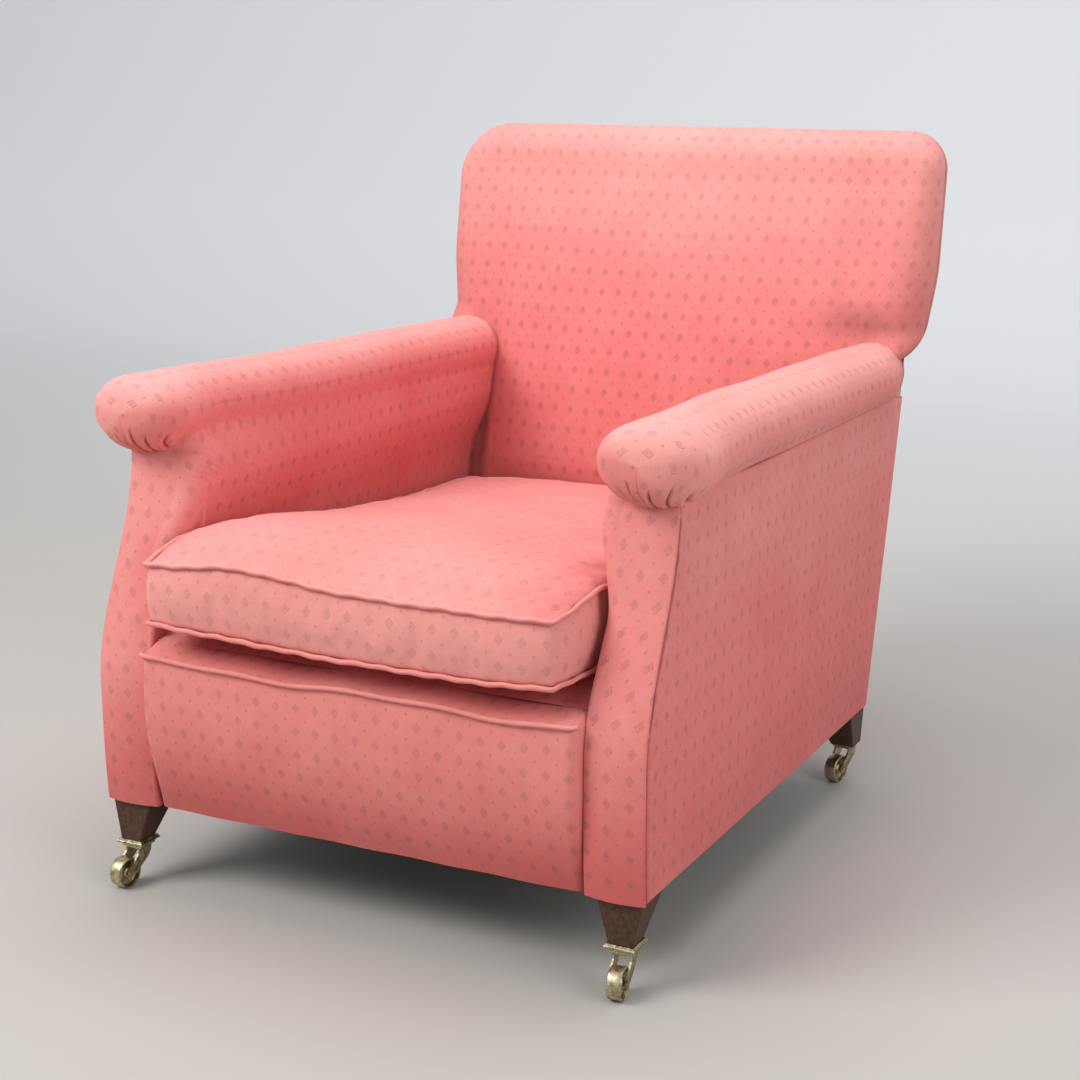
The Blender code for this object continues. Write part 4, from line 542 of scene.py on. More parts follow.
def arm_roll_points():
    """Rings round the middle of the roll. Each ring starts at the seat, climbs the inside of the
    arm, crosses the roll as an ellipse and ends at the outer seam; the radius is a soft
    maximum of the ellipse and of the board below it. In front the rings shrink to the nose,
    behind they slant until the last one lies against the back."""
    turn = np.linspace(0, np.pi / 2, NOSE_RINGS)
    nose_y = NOSE_BASE_Y - NOSE_LENGTH * np.cos(turn) ** NOSE_BLUNTNESS
    nose_scale = np.sin(turn) ** NOSE_BLUNTNESS
    body_y = np.concatenate([np.linspace(NOSE_BASE_Y, -0.33, 30)[1:],
                             np.linspace(-0.33, ROLL_REAR_Y, 90)[1:]])
    y = np.concatenate([nose_y, body_y])[:, None]
    scale = np.concatenate([nose_scale, np.ones(len(body_y))])[:, None]
    centre_x, centre_z = roll_centre(y)
    half_width = ROLL_HALF_WIDTH + NOSE_SWELL * smooth(-y, 0.32, 0.4)
    heights = np.linspace(SEAT_SIDE_FOOT, BOARD_TOP, BOARD_COLUMNS)[None, :]
    board = np.arctan2(heights - centre_z, inner_line(heights) - centre_x) % (2 * np.pi)
    rest = np.linspace(0, 1, RING_COLUMNS - BOARD_COLUMNS + 1)[None, 1:]
    closed = smooth(-y, 0.374, 0.396)
    last = math.radians(-78) - math.radians(12) * closed
    board = board + (1.5 * np.pi - board[:, :1]) * closed
    angle = np.concatenate([board, board[:, -1:] + (last - board[:, -1:]) * rest], axis=1)
    cos, sin = np.cos(angle), np.sin(angle)
    taper = 1 - 0.3 * smooth(y, 0.31, 0.414)
    wide = half_width * np.where(cos > 0, taper, 1)
    ellipse = scale / np.sqrt((cos / wide) ** 2 + (sin / ROLL_HALF_HEIGHT) ** 2)
    levels = centre_z + (centre_x - ARM_INNER_HIGH) * sin / np.clip(-cos, 0.3, 1)
    levels = np.clip(levels, BOARD_TOP, 0.6)
    levels[:, :BOARD_COLUMNS] = heights
    low = fall(levels, 0.53, 0.55)
    face_x = inside_x(y, levels) + 0.003 * smooth(-y, 0.345, 0.372) * low
    plane = (centre_x - face_x) / np.clip(-cos, 0.02, 1)
    floor = (centre_z - SEAT_SIDE_FOOT) / np.clip(-sin, 0.02, 1)
    reach = np.where(cos < 0, np.minimum(plane, floor), 0.0) * fall(sin, 0.05, 0.55)
    reach = reach * fall(-y, 0.392, 0.404)
    blend = unit(0.5 + (reach - ellipse) / (2 * ROLL_BLEND))
    radius = ellipse + (reach - ellipse) * blend + 0.4 * ROLL_BLEND * blend * (1 - blend) * scale
    x = centre_x + radius * cos
    z = centre_z + radius * sin
    under = (np.arange(RING_COLUMNS) > OUTER_COLUMN) & (sin < 0) & (y > -0.4)
    seat = seam_line(y) + 0.0012
    z = np.where(under & (z < seat), seat - 0.0006, z)
    rear_share = np.clip((y - REAR_PART_Y) / (ROLL_REAR_Y - REAR_PART_Y), 0, None)
    y = y + rear_share * (arm_end(x, z) - ROLL_REAR_Y)
    return x, y, z, angle, radius


def pleats(x, y, z):
    """Folds in the underside of the nose. They rise from the gather and fan out sideways; each is
    a narrow groove with the laid-over edge of the cloth as a ridge beside it. Returns the
    depth pressed in and the painted shade of the groove."""
    centre_x, centre_z = roll_centre(y)
    height = unit((z - centre_z + ROLL_HALF_HEIGHT) / (2 * ROLL_HALF_HEIGHT))
    lateral = (x - centre_x) / (ROLL_HALF_WIDTH + NOSE_SWELL)
    share = (height / PLEAT_HEIGHT) ** 0.8
    spread = PLEAT_FOOT_SPREAD + (PLEAT_TOP_SPREAD - PLEAT_FOOT_SPREAD) * share
    fan = lateral / spread
    depth, groove = 0 * x, 0 * x
    for k, place in enumerate(PLEAT_PLACES):
        off = (fan - place) * spread * (ROLL_HALF_WIDTH + NOSE_SWELL) * np.sign(place)
        length = PLEAT_HEIGHT * (1.0 - 0.22 * (k % 2))
        fade = fall(height, 0.35 * length, length)
        depth = depth + fade * bell(off, 0, 0.0012)
        depth = depth - 0.38 * fade * bell(off, -0.0032, 0.002)
        groove = groove + fade * bell(off, 0, 0.001)
    ahead = smooth(-y, 0.398, 0.412)
    return PLEAT_DEPTH * depth * ahead, groove * ahead


def roll_cloth(x, y, z, angle):
    """Place on the cloth. Along the roll it is y and the girth from the crest; over the nose the
    cloth is laid out flat from the crest of its base, so that towards the gather there is more
    and more of it to the same width, which the pleats take up."""
    girth = running_length(1, x, z)[BODY_RING]
    girth = girth - girth[np.argmin(np.abs(angle[BODY_RING] - np.pi / 2))]
    level = np.argmin(np.abs(z[BODY_RING, :BOARD_COLUMNS] - 0.42))
    crest_height = z[BODY_RING, level] - girth[level]
    ahead = unit((NOSE_BASE_Y - y) / NOSE_LENGTH)
    turn = np.arccos(ahead ** (1 / NOSE_BLUNTNESS))
    side = angle - np.pi / 2
    up = np.sin(turn) * np.cos(side)
    lateral = -np.sin(turn) * np.sin(side)
    forward = np.cos(turn)
    away = np.arccos(np.clip(up, -1, 1)) * (ROLL_HALF_WIDTH + ROLL_HALF_HEIGHT) / 2
    spread = np.hypot(lateral, forward) + 1e-9
    nose_u = NOSE_BASE_Y - away * forward / spread
    nose_v = away * lateral / spread
    on_nose = smooth(-y, -NOSE_BASE_Y, -NOSE_BASE_Y + 0.01)
    u = y + (nose_u - y) * on_nose
    v = girth + (nose_v - girth) * on_nose
    return np.stack([u, crest_height + v], -1)


def sag_lumps(y, angle):
    """Gentle unevenness of old stuffing."""
    return 0.0006 * np.sin(y * 15 + 2 * np.cos(angle)) + 0.0004 * np.sin(y * 31 + 3 * angle)


for side in SIDES:
    x, y, z, angle, radius = arm_roll_points()
    cloth = roll_cloth(x, y, z, angle)
    lumps = sag_lumps(y, angle) * smooth(z, 0.5, 0.56) * smooth(radius, 0.0, 0.045)
    pressed, groove = pleats(x, y, z)
    inward = pressed - lumps
    inward = inward + pull_folds(y, z) * smooth(-np.cos(angle), 0.3, 0.7)
    x = x - inward * np.cos(angle)
    z = z - inward * np.sin(angle)
    y = y + pressed * 0.6
    points = np.stack([x, y, z], -1)
    # Painted light: the top and the outer side of the roll are paler, the rear end darker.
    top = smooth(np.sin(angle), 0.0, 0.9)
    light = inside_painted_light(y, z) + 0.58 * top - 0.08 * smooth(y, 0.0, 0.3)
    light += 0.25 * smooth(np.cos(angle), 0.2, 0.9)
    # Painted shade under the nose and in the grooves of the pleats.
    darkening = 0.45 * fall(z, 0.5295, 0.5345) * smooth(-y, 0.396, 0.412) + 0.75 * groove
    # Painted shade along the outer seam.
    darkening += 0.6 * (np.arange(x.shape[1]) > x.shape[1] - 4)
    # Painted shade where the arm meets the back.
    darkening += 0.8 * smooth(y - arm_end(x, z), -0.012, -0.001) * smooth(-np.cos(angle), 0.0, 0.3)
    # Painted shade on the inside of the arm just above the cushion.
    darkening += 0.2 * fall(z, 0.38, 0.46) * smooth(-np.cos(angle), 0.0, 0.3)
    cap = np.broadcast_to(points[-1, ROLL_COLUMN:].mean(axis=0), points[-1:].shape)
    points = np.concatenate([points, cap])
    cloth, light, darkening = [np.concatenate([grid, grid[-1:]]) for grid in (cloth, light, darkening)]
    piece = surface("arm_roll_cloth_" + side, points, cloth, light, darkening, DAMASK,
                    mirror=side == "right")
    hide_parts("inside_arm_" + side)


# Back
# Hair stuffing over a sprung back, rolled over at the top and round the shoulders, under one
# width of damask that is tacked behind the roll; it has slumped and bulges above the seat.

BACK_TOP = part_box("inside_back")[1].z
BACK_HALF_WIDTH = 0.3795
SHOULDER_FOOT = 0.566
BACK_ROLL_Y = 0.47
BACK_ROLL_RADIUS = 0.0545
BACK_ROLL_LEAN = 0.14
BACK_ROLL_SPREAD = 0.05
BACK_ROUND = 1.15
BACK_CROWN = 0.036
CORNER_LEFT = 0.055
CORNER_RIGHT = 0.08
BACK_LOW = 0.3
BACK_NARROW = 0.318
BACK_COLUMNS = 150
BACK_MIDDLE = BACK_COLUMNS // 2


def back_width(z):
    """Half width: narrow between the arms, out over them in a rounded step, then nearly straight."""
    shoulder = BACK_HALF_WIDTH - 0.012 * fall(z, 0.58, 0.71)
    step = unit((z - SHOULDER_FOOT) / 0.04)
    return BACK_NARROW + (shoulder - BACK_NARROW) * np.sqrt(1 - (1 - step) ** 2)


def back_roll_y(z):
    return BACK_ROLL_Y - BACK_ROLL_LEAN * (BACK_TOP - 0.055 - z)


def rim_distance(x, z):
    """Distance inside the rolled outline, with its two round top corners."""
    corner = np.where(x > 0, CORNER_LEFT, CORNER_RIGHT)
    across = np.abs(x) - (back_width(z) - corner)
    above = z - (BACK_TOP - corner)
    outside = np.hypot(np.maximum(across, 0), np.maximum(above, 0))
    return np.maximum(0, corner - outside - np.minimum(np.maximum(across, above), 0))


def back_face(x, z):
    """Raked plane, crowned in the middle and less so towards the top, with lumps of old hair."""
    over = np.maximum(0, (z - (BACK_TOP - 0.075)) / 0.05)
    plane = back_plane(z - 0.05 * over ** 2 / (1 + over))
    across = unit(1 - (x / 0.27) ** 2) ** 0.8
    crown = BACK_CROWN * across * smooth(z, 0.3, 0.42) * (1 - 0.75 * smooth(z, 0.6, 0.86))
    lumps = 0.002 * np.sin(x * 14 + 1.3) * np.sin(z * 17 + 0.4)
    slump = 0.004 * bell(x, -0.05, 0.16) * bell(z, 0.5, 0.07)
    return plane - crown - (lumps + slump) * smooth(z, 0.36, 0.45)


def back_points():
    """Two height fields y(x, z), front and rear, that meet on the rim: the front falls away from
    its face to the middle of the roll as a quarter ellipse, the rear bulges as a circle."""
    share = np.sin(np.linspace(-np.pi / 2, np.pi / 2, BACK_COLUMNS))[None, :]
    heights = np.concatenate([np.linspace(BACK_LOW, 0.55, 40)[:-1], np.linspace(0.55, 0.62, 26)[:-1],
                              np.linspace(0.62, 0.8, 40)[:-1],
                              0.8 + (BACK_TOP - 0.8) * np.sin(np.linspace(0, np.pi / 2, 46))])
    z = heights[:, None]
    corner = np.where(share > 0, CORNER_LEFT, CORNER_RIGHT)
    over = np.clip(z - (BACK_TOP - corner), 0, corner)
    x = (back_width(z) - corner + np.sqrt(np.clip(corner ** 2 - over ** 2, 0, None))) * share
    z = z + 0 * x
    rim = rim_distance(x, np.minimum(z, BACK_TOP - 1e-5))
    middle = back_roll_y(z)
    depth = middle - back_face(x, z)
    high = smooth(z, SHOULDER_FOOT, 0.62)
    spread = np.maximum(depth * BACK_ROUND, BACK_ROLL_SPREAD) * high + 0.012 * (1 - high)
    part = np.minimum(1, rim / spread)
    round_front = np.sqrt(unit(1 - (1 - part) ** 2.6))
    low_round = 0.8 + 0.2 * round_front
    front = middle - depth * (round_front * high + low_round * (1 - high))
    swell = 1 - ((rim - BACK_ROLL_SPREAD) / BACK_ROLL_SPREAD) ** 2
    rear = middle + BACK_ROLL_RADIUS * np.sqrt(unit(swell)) * high
    flat = rear_line(z) - 0.001
    rear = np.where(rim < 2 * BACK_ROLL_SPREAD, np.maximum(rear, flat), flat)
    rear = rear * high + np.minimum(flat, front + 0.006) * (1 - high)
    rear = np.where(rim < 1e-4, front, rear)
    return x, front, rear, z


x, front, rear, z = back_points()
climb = running_length(0, front, z, x)[:, BACK_MIDDLE:BACK_MIDDLE + 1] + BACK_LOW
sideways = running_length(1, front, x)
sideways = sideways - sideways[:, BACK_MIDDLE:BACK_MIDDLE + 1]
cloth = np.stack(np.broadcast_arrays(sideways, climb), -1)
# Painted light: the roll over the top is paler, a patch in the middle paler, the low back darker.
light = 0.4 + 0.44 * smooth(z, 0.62, 0.86) - 0.08 * fall(z, 0.36, 0.6)
light += 0.12 * bell(x, 0.05, 0.2) * smooth(z, 0.55, 0.65)
# Painted shade where the arm rolls meet the back, stronger on the left, and on the sides of the back behind the
# arms.
darkening = 0.7 * bell(x, 0.295, 0.045) * bell(z, 0.625, 0.024)
darkening += 0.25 * bell(x, -0.3, 0.04) * bell(z, 0.6, 0.03)
darkening += 0.8 * smooth(np.abs(x), 0.252, 0.27) * fall(z, 0.56, 0.6)
piece = surface("back_cloth", np.stack([x, front, z], -1), cloth, light, darkening, DAMASK)
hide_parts("inside_back")
# Painted light: the rear of the roll is paler towards the top.
behind = surface("back_roll_rear_cloth", np.stack([x, rear, z], -1), cloth * [-1, 1],
                 0.35 + 0.3 * smooth(z, 0.75, 0.88), 0.05 + 0 * z, DAMASK, flip=True)


# Outside back
# A flat panel of damask over hessian, slip-stitched round its edge between the rolled
# shoulders and down both rear corners.

OUTSIDE_HIGH_HALF = 0.243
OUTSIDE_CORNER = 0.04
OUTSIDE_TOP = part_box("outside_back")[1].z


def outside_back_points():
    """y is the raked panel plane with a slight puff, rounded at its edges; the half width steps
    in from the full body to the space between the shoulders."""
    up, across = np.meshgrid(spread_to_ends(120, 0.5), spread_to_ends(110, 0.85), indexing="ij")
    z = CLOTH_FOOT + (OUTSIDE_TOP - CLOTH_FOOT) * up
    step = smooth(z, SHOULDER_FOOT + 0.022, SHOULDER_FOOT + 0.034)
    half = (PANEL_X - 0.0035) - (PANEL_X - OUTSIDE_HIGH_HALF) * step
    top_corner = np.clip(z - (OUTSIDE_TOP - OUTSIDE_CORNER), 0, OUTSIDE_CORNER)
    half = half - OUTSIDE_CORNER + np.sqrt(OUTSIDE_CORNER ** 2 - top_corner ** 2)
    x = half * (2 * across - 1)
    inside = np.minimum(half - np.abs(x), np.minimum(OUTSIDE_TOP - z, z - CLOTH_FOOT))
    puff = 0.002 * np.sin(np.pi * across) ** 0.5 * np.sin(np.pi * up) ** 0.5
    y = rear_line(z) - 0.003 + 0.003 * roundness(inside, 0.005) + puff
    y = y - 0.003 * np.exp(-inside / SEAM_SHARPNESS)
    return np.stack([x, y, z], -1)


points = outside_back_points()
x, z = points[..., 0], points[..., 2]
# Painted light: paler towards the top; darker towards the foot.
piece = surface("outside_back_cloth", points, np.stack([-x, z], -1),
                0.32 + 0.15 * smooth(z, 0.3, 0.7), 0.1 * fall(z, 0.1, 0.25), DAMASK,
                flip=True)
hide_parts("outside_back")


# Seat front
# The border hangs from a stitched edge: piping along its wavy top, a full belly below it, and
# a foot drawn under the front rail. Behind it the same damask covers the front of the platform.

BORDER_HALF = 0.2865
BORDER_TOP = 0.301
BORDER_TOP_Y = -0.505
BORDER_FOOT_Y = -0.479
BORDER_BELLY = 0.012
BORDER_EDGE = 0.74
BORDER_END_ROUND = 0.014
BORDER_END_BEND = 0.012
BORDER_MIDDLE = 55
PIPING = 0.0031
PIPING_OUT = 0.0022
PIPING_SIDES = 10
PLATFORM_HALF = 0.2855
PLATFORM_FRONT_Y = -0.47
PLATFORM_DEPTH = 0.732
PLATFORM_EDGE = 0.3165
PLATFORM_RIDGE = 0.334
PLATFORM_RIDGE_Y = -0.41
PLATFORM_FALL = 0.05


def border_wave(x):
    """How much the worn top edge rises and dips along its length."""
    return 0.0022 * np.sin(x * 21 + 0.6) + 0.0012 * np.sin(x * 47 + 2.0)


def end_bend(edge):
    """How far the border is drawn back near its ends."""
    return BORDER_END_BEND * (1 - roundness(edge, BORDER_END_ROUND))


def border_points():
    """Profile from under the rail up the belly to the piping, then back over the stitched edge to
    the platform; y and z along it, carried across in x and rounded in at both ends."""
    across = spread_to_ends(110, 0.75)[None, :]
    s = np.linspace(0, 1, 90)[:, None]
    x = BORDER_HALF * (2 * across - 1)
    rise = unit(s / BORDER_EDGE)
    z = CLOTH_FOOT + (BORDER_TOP - CLOTH_FOOT) * rise
    y = BORDER_FOOT_Y + (BORDER_TOP_Y - BORDER_FOOT_Y) * rise
    y = y - BORDER_BELLY * np.sin(np.pi * rise ** 1.2)
    over = unit((s - BORDER_EDGE) / (1 - BORDER_EDGE))
    y = y + 0.052 * over
    z = z + 0.0145 * np.sin(np.pi / 2 * over) + border_wave(x) * smooth(s, 0.45, BORDER_EDGE)
    y = y + 0.001 * np.sin(x * 60 + 9 * z) * np.sin(z * 40) + 0 * x
    edge = BORDER_HALF - np.abs(x)
    y = y + end_bend(edge) + 0.02 * np.exp(-edge / 0.0015)
    return np.stack([x + 0 * y, y, z + 0 * y], -1)


points = border_points()
x, y, z = np.moveaxis(points, -1, 0)
climb = running_length(0, y, z)[:, BORDER_MIDDLE:BORDER_MIDDLE + 1]
cloth = np.stack(np.broadcast_arrays(x, CLOTH_FOOT + climb), -1)
# Painted shade: less pale towards the foot.
light = 0.46 + 0.1 * smooth(z, 0.2, 0.3) - 0.3 * fall(z, 0.1, 0.22)
# Painted shade: darker near the floor, where the shadow under the chair falls, and on the strip drawn back under
# the cushion.
piece = surface("seat_front_cloth", points, cloth, light,
                0.42 * fall(z, 0.09, 0.2) + 0.2 * smooth(y, -0.49, -0.455), DAMASK)
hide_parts("front_border")


def piping_cord(name, line, radius, closed, material, node):
    """Covered cord: a circle carried along a line of points, a little uneven in size. Rings stand
    square to the line."""
    ahead = np.roll(line, -1, axis=0) - np.roll(line, 1, axis=0)
    if not closed:
        ahead[0] = line[1] - line[0]
        ahead[-1] = line[-1] - line[-2]
    ahead /= np.linalg.norm(ahead, axis=1)[:, None]
    upward = np.array([0.0, 0.0, 1.0]) - ahead * ahead[:, 2:3]
    upward /= np.linalg.norm(upward, axis=1)[:, None]
    outward = np.cross(ahead, upward)
    angle = np.linspace(0, 2 * np.pi, PIPING_SIDES, endpoint=False)[None, :, None]
    run = running_length(0, *line.T)
    uneven = 1 + 0.05 * np.sin(run * 140 + np.sin(run * 60)) + 0.05 * np.sin(run * 53)
    size = (radius * uneven)[:, None, None]
    points = line[:, None, :] + size * (np.cos(angle) * outward[:, None, :]
                                        + np.sin(angle) * upward[:, None, :])
    cloth = np.stack(np.broadcast_arrays(run[:, None], angle[..., 0] * radius), -1)
    if closed:
        points = np.concatenate([points, points[:1]])
        cloth = np.concatenate([cloth, cloth[:1] + [0.01, 0]])
    # Painted light: the upper half of the cord is paler, the lower half darker.
    fade = 0.62 + 0.25 * np.sin(angle[..., 0]) + 0 * points[..., 0]
    piece = surface(name, points, cloth, fade, 0.06 + 0 * fade, material, around=True, flip=True)
    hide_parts(node)
    return piece


PIPING_CLOTH = rose_damask("piping_damask", 0.25)
x = BORDER_HALF * np.linspace(-1, 1, 260) * 0.995
y = BORDER_TOP_Y - PIPING_OUT + end_bend(BORDER_HALF - np.abs(x))
line = np.stack([x, y, BORDER_TOP + PIPING_OUT + border_wave(x)], -1)
piping_cord("seat_front_piping", line, PIPING, False, PIPING_CLOTH, "border_piping")


def platform_height(y):
    """The platform falls straight to the rear from its ridge behind the border."""
    return PLATFORM_RIDGE - PLATFORM_FALL * (y - PLATFORM_RIDGE_Y)


def platform_points():
    """Top of the platform: up from the border to the ridge, then the slow fall."""
    u, v = np.meshgrid(np.linspace(-1, 1, 60), np.linspace(0, 1, 70))
    y = PLATFORM_FRONT_Y + PLATFORM_DEPTH * v
    top = platform_height(np.maximum(y, PLATFORM_RIDGE_Y))
    rise = smooth(y, PLATFORM_FRONT_Y, PLATFORM_RIDGE_Y)
    z = PLATFORM_EDGE + (top - PLATFORM_EDGE) * rise - 0.0012
    return np.stack([PLATFORM_HALF * u, y, z], -1)


points = platform_points()
piece = surface("platform_cloth", points, points[..., :2], 0.35, 0.15, DAMASK)
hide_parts("seat_platform")


# Seat cushion
# A loose feather cushion: two panels and a boxing strip sewn with piping in both seams. It
# has sagged to the rear and is sat hollow beside the left arm; the top is rubbed pale. Its
# pieces also carry painted light and shade: the boxing strip palest, the under panel darkest.

CUSHION_HALF = 0.269
CUSHION_FRONT_Y = -0.518
CUSHION_REAR_Y = 0.264
CUSHION_MIDDLE_Y = (CUSHION_FRONT_Y + CUSHION_REAR_Y) / 2
CUSHION_HALF_DEPTH = (CUSHION_REAR_Y - CUSHION_FRONT_Y) / 2
CUSHION_TOP = 0.4206
CUSHION_WALL = 0.0706
CUSHION_CROWN = 0.024
# Painted light of the cushion pieces: the boxing strip palest, the top panel less, the under panel darkest.
TOP_PANEL_LIGHT, UNDER_PANEL_LIGHT, BOXING_LIGHT = 0.66, 0.4, 0.9
FILL_LIMIT = 0.009
FILL_FRAMES = 20


def cushion_plan(u, v):
    """x and y of a share of the cushion's width and depth, with rounded corners."""
    x = CUSHION_HALF * u * (1 - 0.03 * np.abs(v) ** 14)
    return x, CUSHION_MIDDLE_Y + CUSHION_HALF_DEPTH * v * (1 - 0.018 * np.abs(u) ** 12)


def top_seam(x, y):
    """Height of the top seam: high just behind the front, lumpy right of the middle, sunk behind."""
    depth = y - CUSHION_FRONT_Y
    rise = 0.014 * smooth(depth, 0.0, 0.1) * fall(depth, 0.1, 0.35)
    sink = 0.046 * smooth(depth, 0.05, 0.72)
    lump = 0.012 * bell(x, -0.13, 0.09) * fall(depth, 0, 0.25)
    return CUSHION_TOP + rise - sink + lump


def bottom_seam(x, y):
    """Height of the bottom seam: wavy in front, everywhere clear of the platform."""
    depth = y - CUSHION_FRONT_Y
    wave = 0.004 * np.cos((x + 0.28) * 9) * fall(depth, 0, 0.2)
    low = CUSHION_TOP - CUSHION_WALL - 0.003 - 0.04 * smooth(depth, 0.05, 0.72) + wave
    return np.maximum(low, platform_height(y) + 0.0045)


def cushion_top(x, y, u, v):
    """Crowned panel: the seam height plus a dome, less the sat hollow on the left."""
    dome = np.sqrt(unit(1 - u ** 2) * unit(1 - v ** 2))
    hollow = 0.014 * bell(x, 0.19, 0.07) * bell(y, -0.12, 0.14)
    creases = 0.0016 * np.sin(x * 33 + y * 12) * np.sin(y * 21 - x * 9) * dome
    return top_seam(x, y) + CUSHION_CROWN * dome - hollow * np.minimum(1, dome * 2) + creases


def cushion_bottom(x, y, u, v):
    """Under panel: flat on the platform, curling up to its seam in front and at the sides."""
    seated = platform_height(y) + 0.0006
    side = smooth(np.abs(u), 0.8, 1.0)
    ahead = fall(y, CUSHION_FRONT_Y, CUSHION_FRONT_Y + 0.1)
    behind = smooth(y, CUSHION_REAR_Y - 0.05, CUSHION_REAR_Y)
    lift = 1 - (1 - side) * (1 - ahead) * (1 - behind)
    return seated + (bottom_seam(x, y) - seated) * lift


def rim_of(grid):
    """The points on the border of a grid, once round."""
    return np.concatenate([grid[0, :-1], grid[:-1, -1], grid[-1, :0:-1], grid[:0:-1, 0]])


def cushion_covers():
    """Top and bottom panels on one grid of shares and the boxing strip between their rims: for
    each its points, its place on the cloth, its painted light and whether it closes round."""
    u, v = np.meshgrid(np.linspace(-1, 1, 61), np.linspace(-1, 1, 87))
    x, y = cushion_plan(u, v)
    top = np.stack([x, y, cushion_top(x, y, u, v)], -1)
    bottom = np.stack([x, y, cushion_bottom(x, y, u, v)], -1)
    flat = np.stack([x, y], -1)
    rim = rim_of(top)
    outward = (rim - [0, CUSHION_MIDDLE_Y, 0]) * [1, 1, 0]
    outward /= np.linalg.norm(outward, axis=1)[:, None]
    share = np.linspace(0, 1, 10)[:, None, None]
    belly = 0.0035 * np.sin(np.pi * share)
    wall = rim * (1 - share) + rim_of(bottom) * share + outward * belly
    run = running_length(0, *rim[:, :2].T)
    boxing = np.stack(np.broadcast_arrays(run, 0.5 - wall[..., 2]), -1)
    return ((top, flat, TOP_PANEL_LIGHT, False), (bottom, flat * [1, -1], UNDER_PANEL_LIGHT, False),
            (wall, boxing, BOXING_LIGHT, True))


CUSHION_CLOTH = rose_damask("cushion_damask", 0.85)
parts = []
for number, (points, cloth, light, around) in enumerate(cushion_covers()):
    x, y = points[..., 0], points[..., 1]
    if number == 0:
        # Painted shade on the top panel: darker towards the rear and in a strip beside the left arm.
        light = light - 0.02 * smooth(y, -0.1, 0.26) - 0.15 * bell(x, 0.25, 0.05)
    # Painted shade towards the rear, under the back, over a slight even darkening everywhere.
    darkening = 0.12 * smooth(y, 0.12, 0.26) + 0.04
    parts.append(surface("cushion_part_%d" % number, points, cloth, light, darkening, CUSHION_CLOTH,
                         around=around, flip=number == 1))
with bpy.context.temp_override(active_object=parts[0], selected_editable_objects=parts):
    bpy.ops.object.join()
cushion = parts[0]
cushion.name = "seat_cushion_cloth"
weld = bmesh.new()
weld.from_mesh(cushion.data)
bmesh.ops.remove_doubles(weld, verts=weld.verts, dist=0.0002)
bmesh.ops.recalc_face_normals(weld, faces=weld.faces)
weld.to_mesh(cushion.data)
weld.free()


def fill_cushion(piece, cap):
    """Blow the cover up a little with cloth simulation, held along its seams and underneath, cap
    how far any point has moved, and keep the result as the mesh."""
    rest = np.zeros(len(piece.data.vertices) * 3, dtype=np.float32)
    piece.data.vertices.foreach_get("co", rest)
    rest = rest.reshape(-1, 3)
    x, y, z = rest.T
    seam_top = np.abs(z - top_seam(x, y)) < 0.0016
    seam_low = np.abs(z - bottom_seam(x, y)) < 0.0016
    edge = (np.abs(x) > CUSHION_HALF * 0.955) | (y < CUSHION_FRONT_Y + 0.012)
    edge |= y > CUSHION_REAR_Y - 0.012
    under = z < platform_height(y) + 0.004
    held = ((seam_top | seam_low) & edge) | under
    group = piece.vertex_groups.new(name="held")
    group.add([int(k) for k in np.nonzero(held)[0]], 1.0, "REPLACE")
    cloth = piece.modifiers.new("feathers", "CLOTH")
    settings = cloth.settings
    settings.quality = 5
    settings.use_pressure = True
    settings.uniform_pressure_force = 4.0
    settings.effector_weights.gravity = 0.0
    settings.vertex_group_mass = "held"
    settings.shrink_min = -0.02
    settings.tension_stiffness = 25
    settings.bending_stiffness = 0.8
    cloth.collision_settings.use_collision = False
    cloth.point_cache.frame_start = 1
    cloth.point_cache.frame_end = FILL_FRAMES
    for number in range(1, FILL_FRAMES + 1):
        bpy.context.scene.frame_set(number)
    graph = bpy.context.evaluated_depsgraph_get()
    moved = np.zeros_like(rest).ravel()
    piece.evaluated_get(graph).data.vertices.foreach_get("co", moved)
    shift = moved.reshape(-1, 3) - rest
    size = np.linalg.norm(shift, axis=1)[:, None]
    shift *= np.minimum(1, cap / np.maximum(size, 1e-9))
    piece.modifiers.remove(cloth)
    piece.vertex_groups.remove(group)
    piece.data.vertices.foreach_set("co", (rest + shift).astype(np.float32).ravel())
    piece.data.update()
    bpy.context.scene.frame_set(1)


fill_cushion(cushion, FILL_LIMIT)
cushion.data.shade_smooth()
finer = cushion.modifiers.new("finer", "SUBSURF")
finer.levels = 1
finer.render_levels = 1
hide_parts("seat_cushion")

shares = np.meshgrid(np.linspace(-1, 1, 150), np.linspace(-1, 1, 210))
loop_u, loop_v = rim_of(np.stack(shares, -1)).T
x, y = cushion_plan(loop_u, loop_v)
out_x = np.where(np.abs(loop_u) > 0.999, loop_u, 0) * PIPING * 0.9
out_y = np.where(np.abs(loop_v) > 0.999, loop_v, 0) * PIPING * 0.9
pucker = 0.0006 * np.sin(x * 170 + y * 150) + 0.0004 * np.sin(x * 67 - y * 83)
for name, height, node in (("cushion_top_piping", top_seam, "cushion_piping_top"),
                           ("cushion_bottom_piping", bottom_seam, "cushion_piping_bottom")):
    line = np.stack([x + out_x, y + out_y, height(x, y) + pucker], -1)
    piping_cord(name, line, PIPING * 0.97, True, PIPING_CLOTH, node)


# Legs
# Square tapered beech legs stained nearly black, the stain worn to brown along the arrises.

STAIN = (0.02, 0.01, 0.005)
WORN_STAIN = (0.09, 0.038, 0.018)


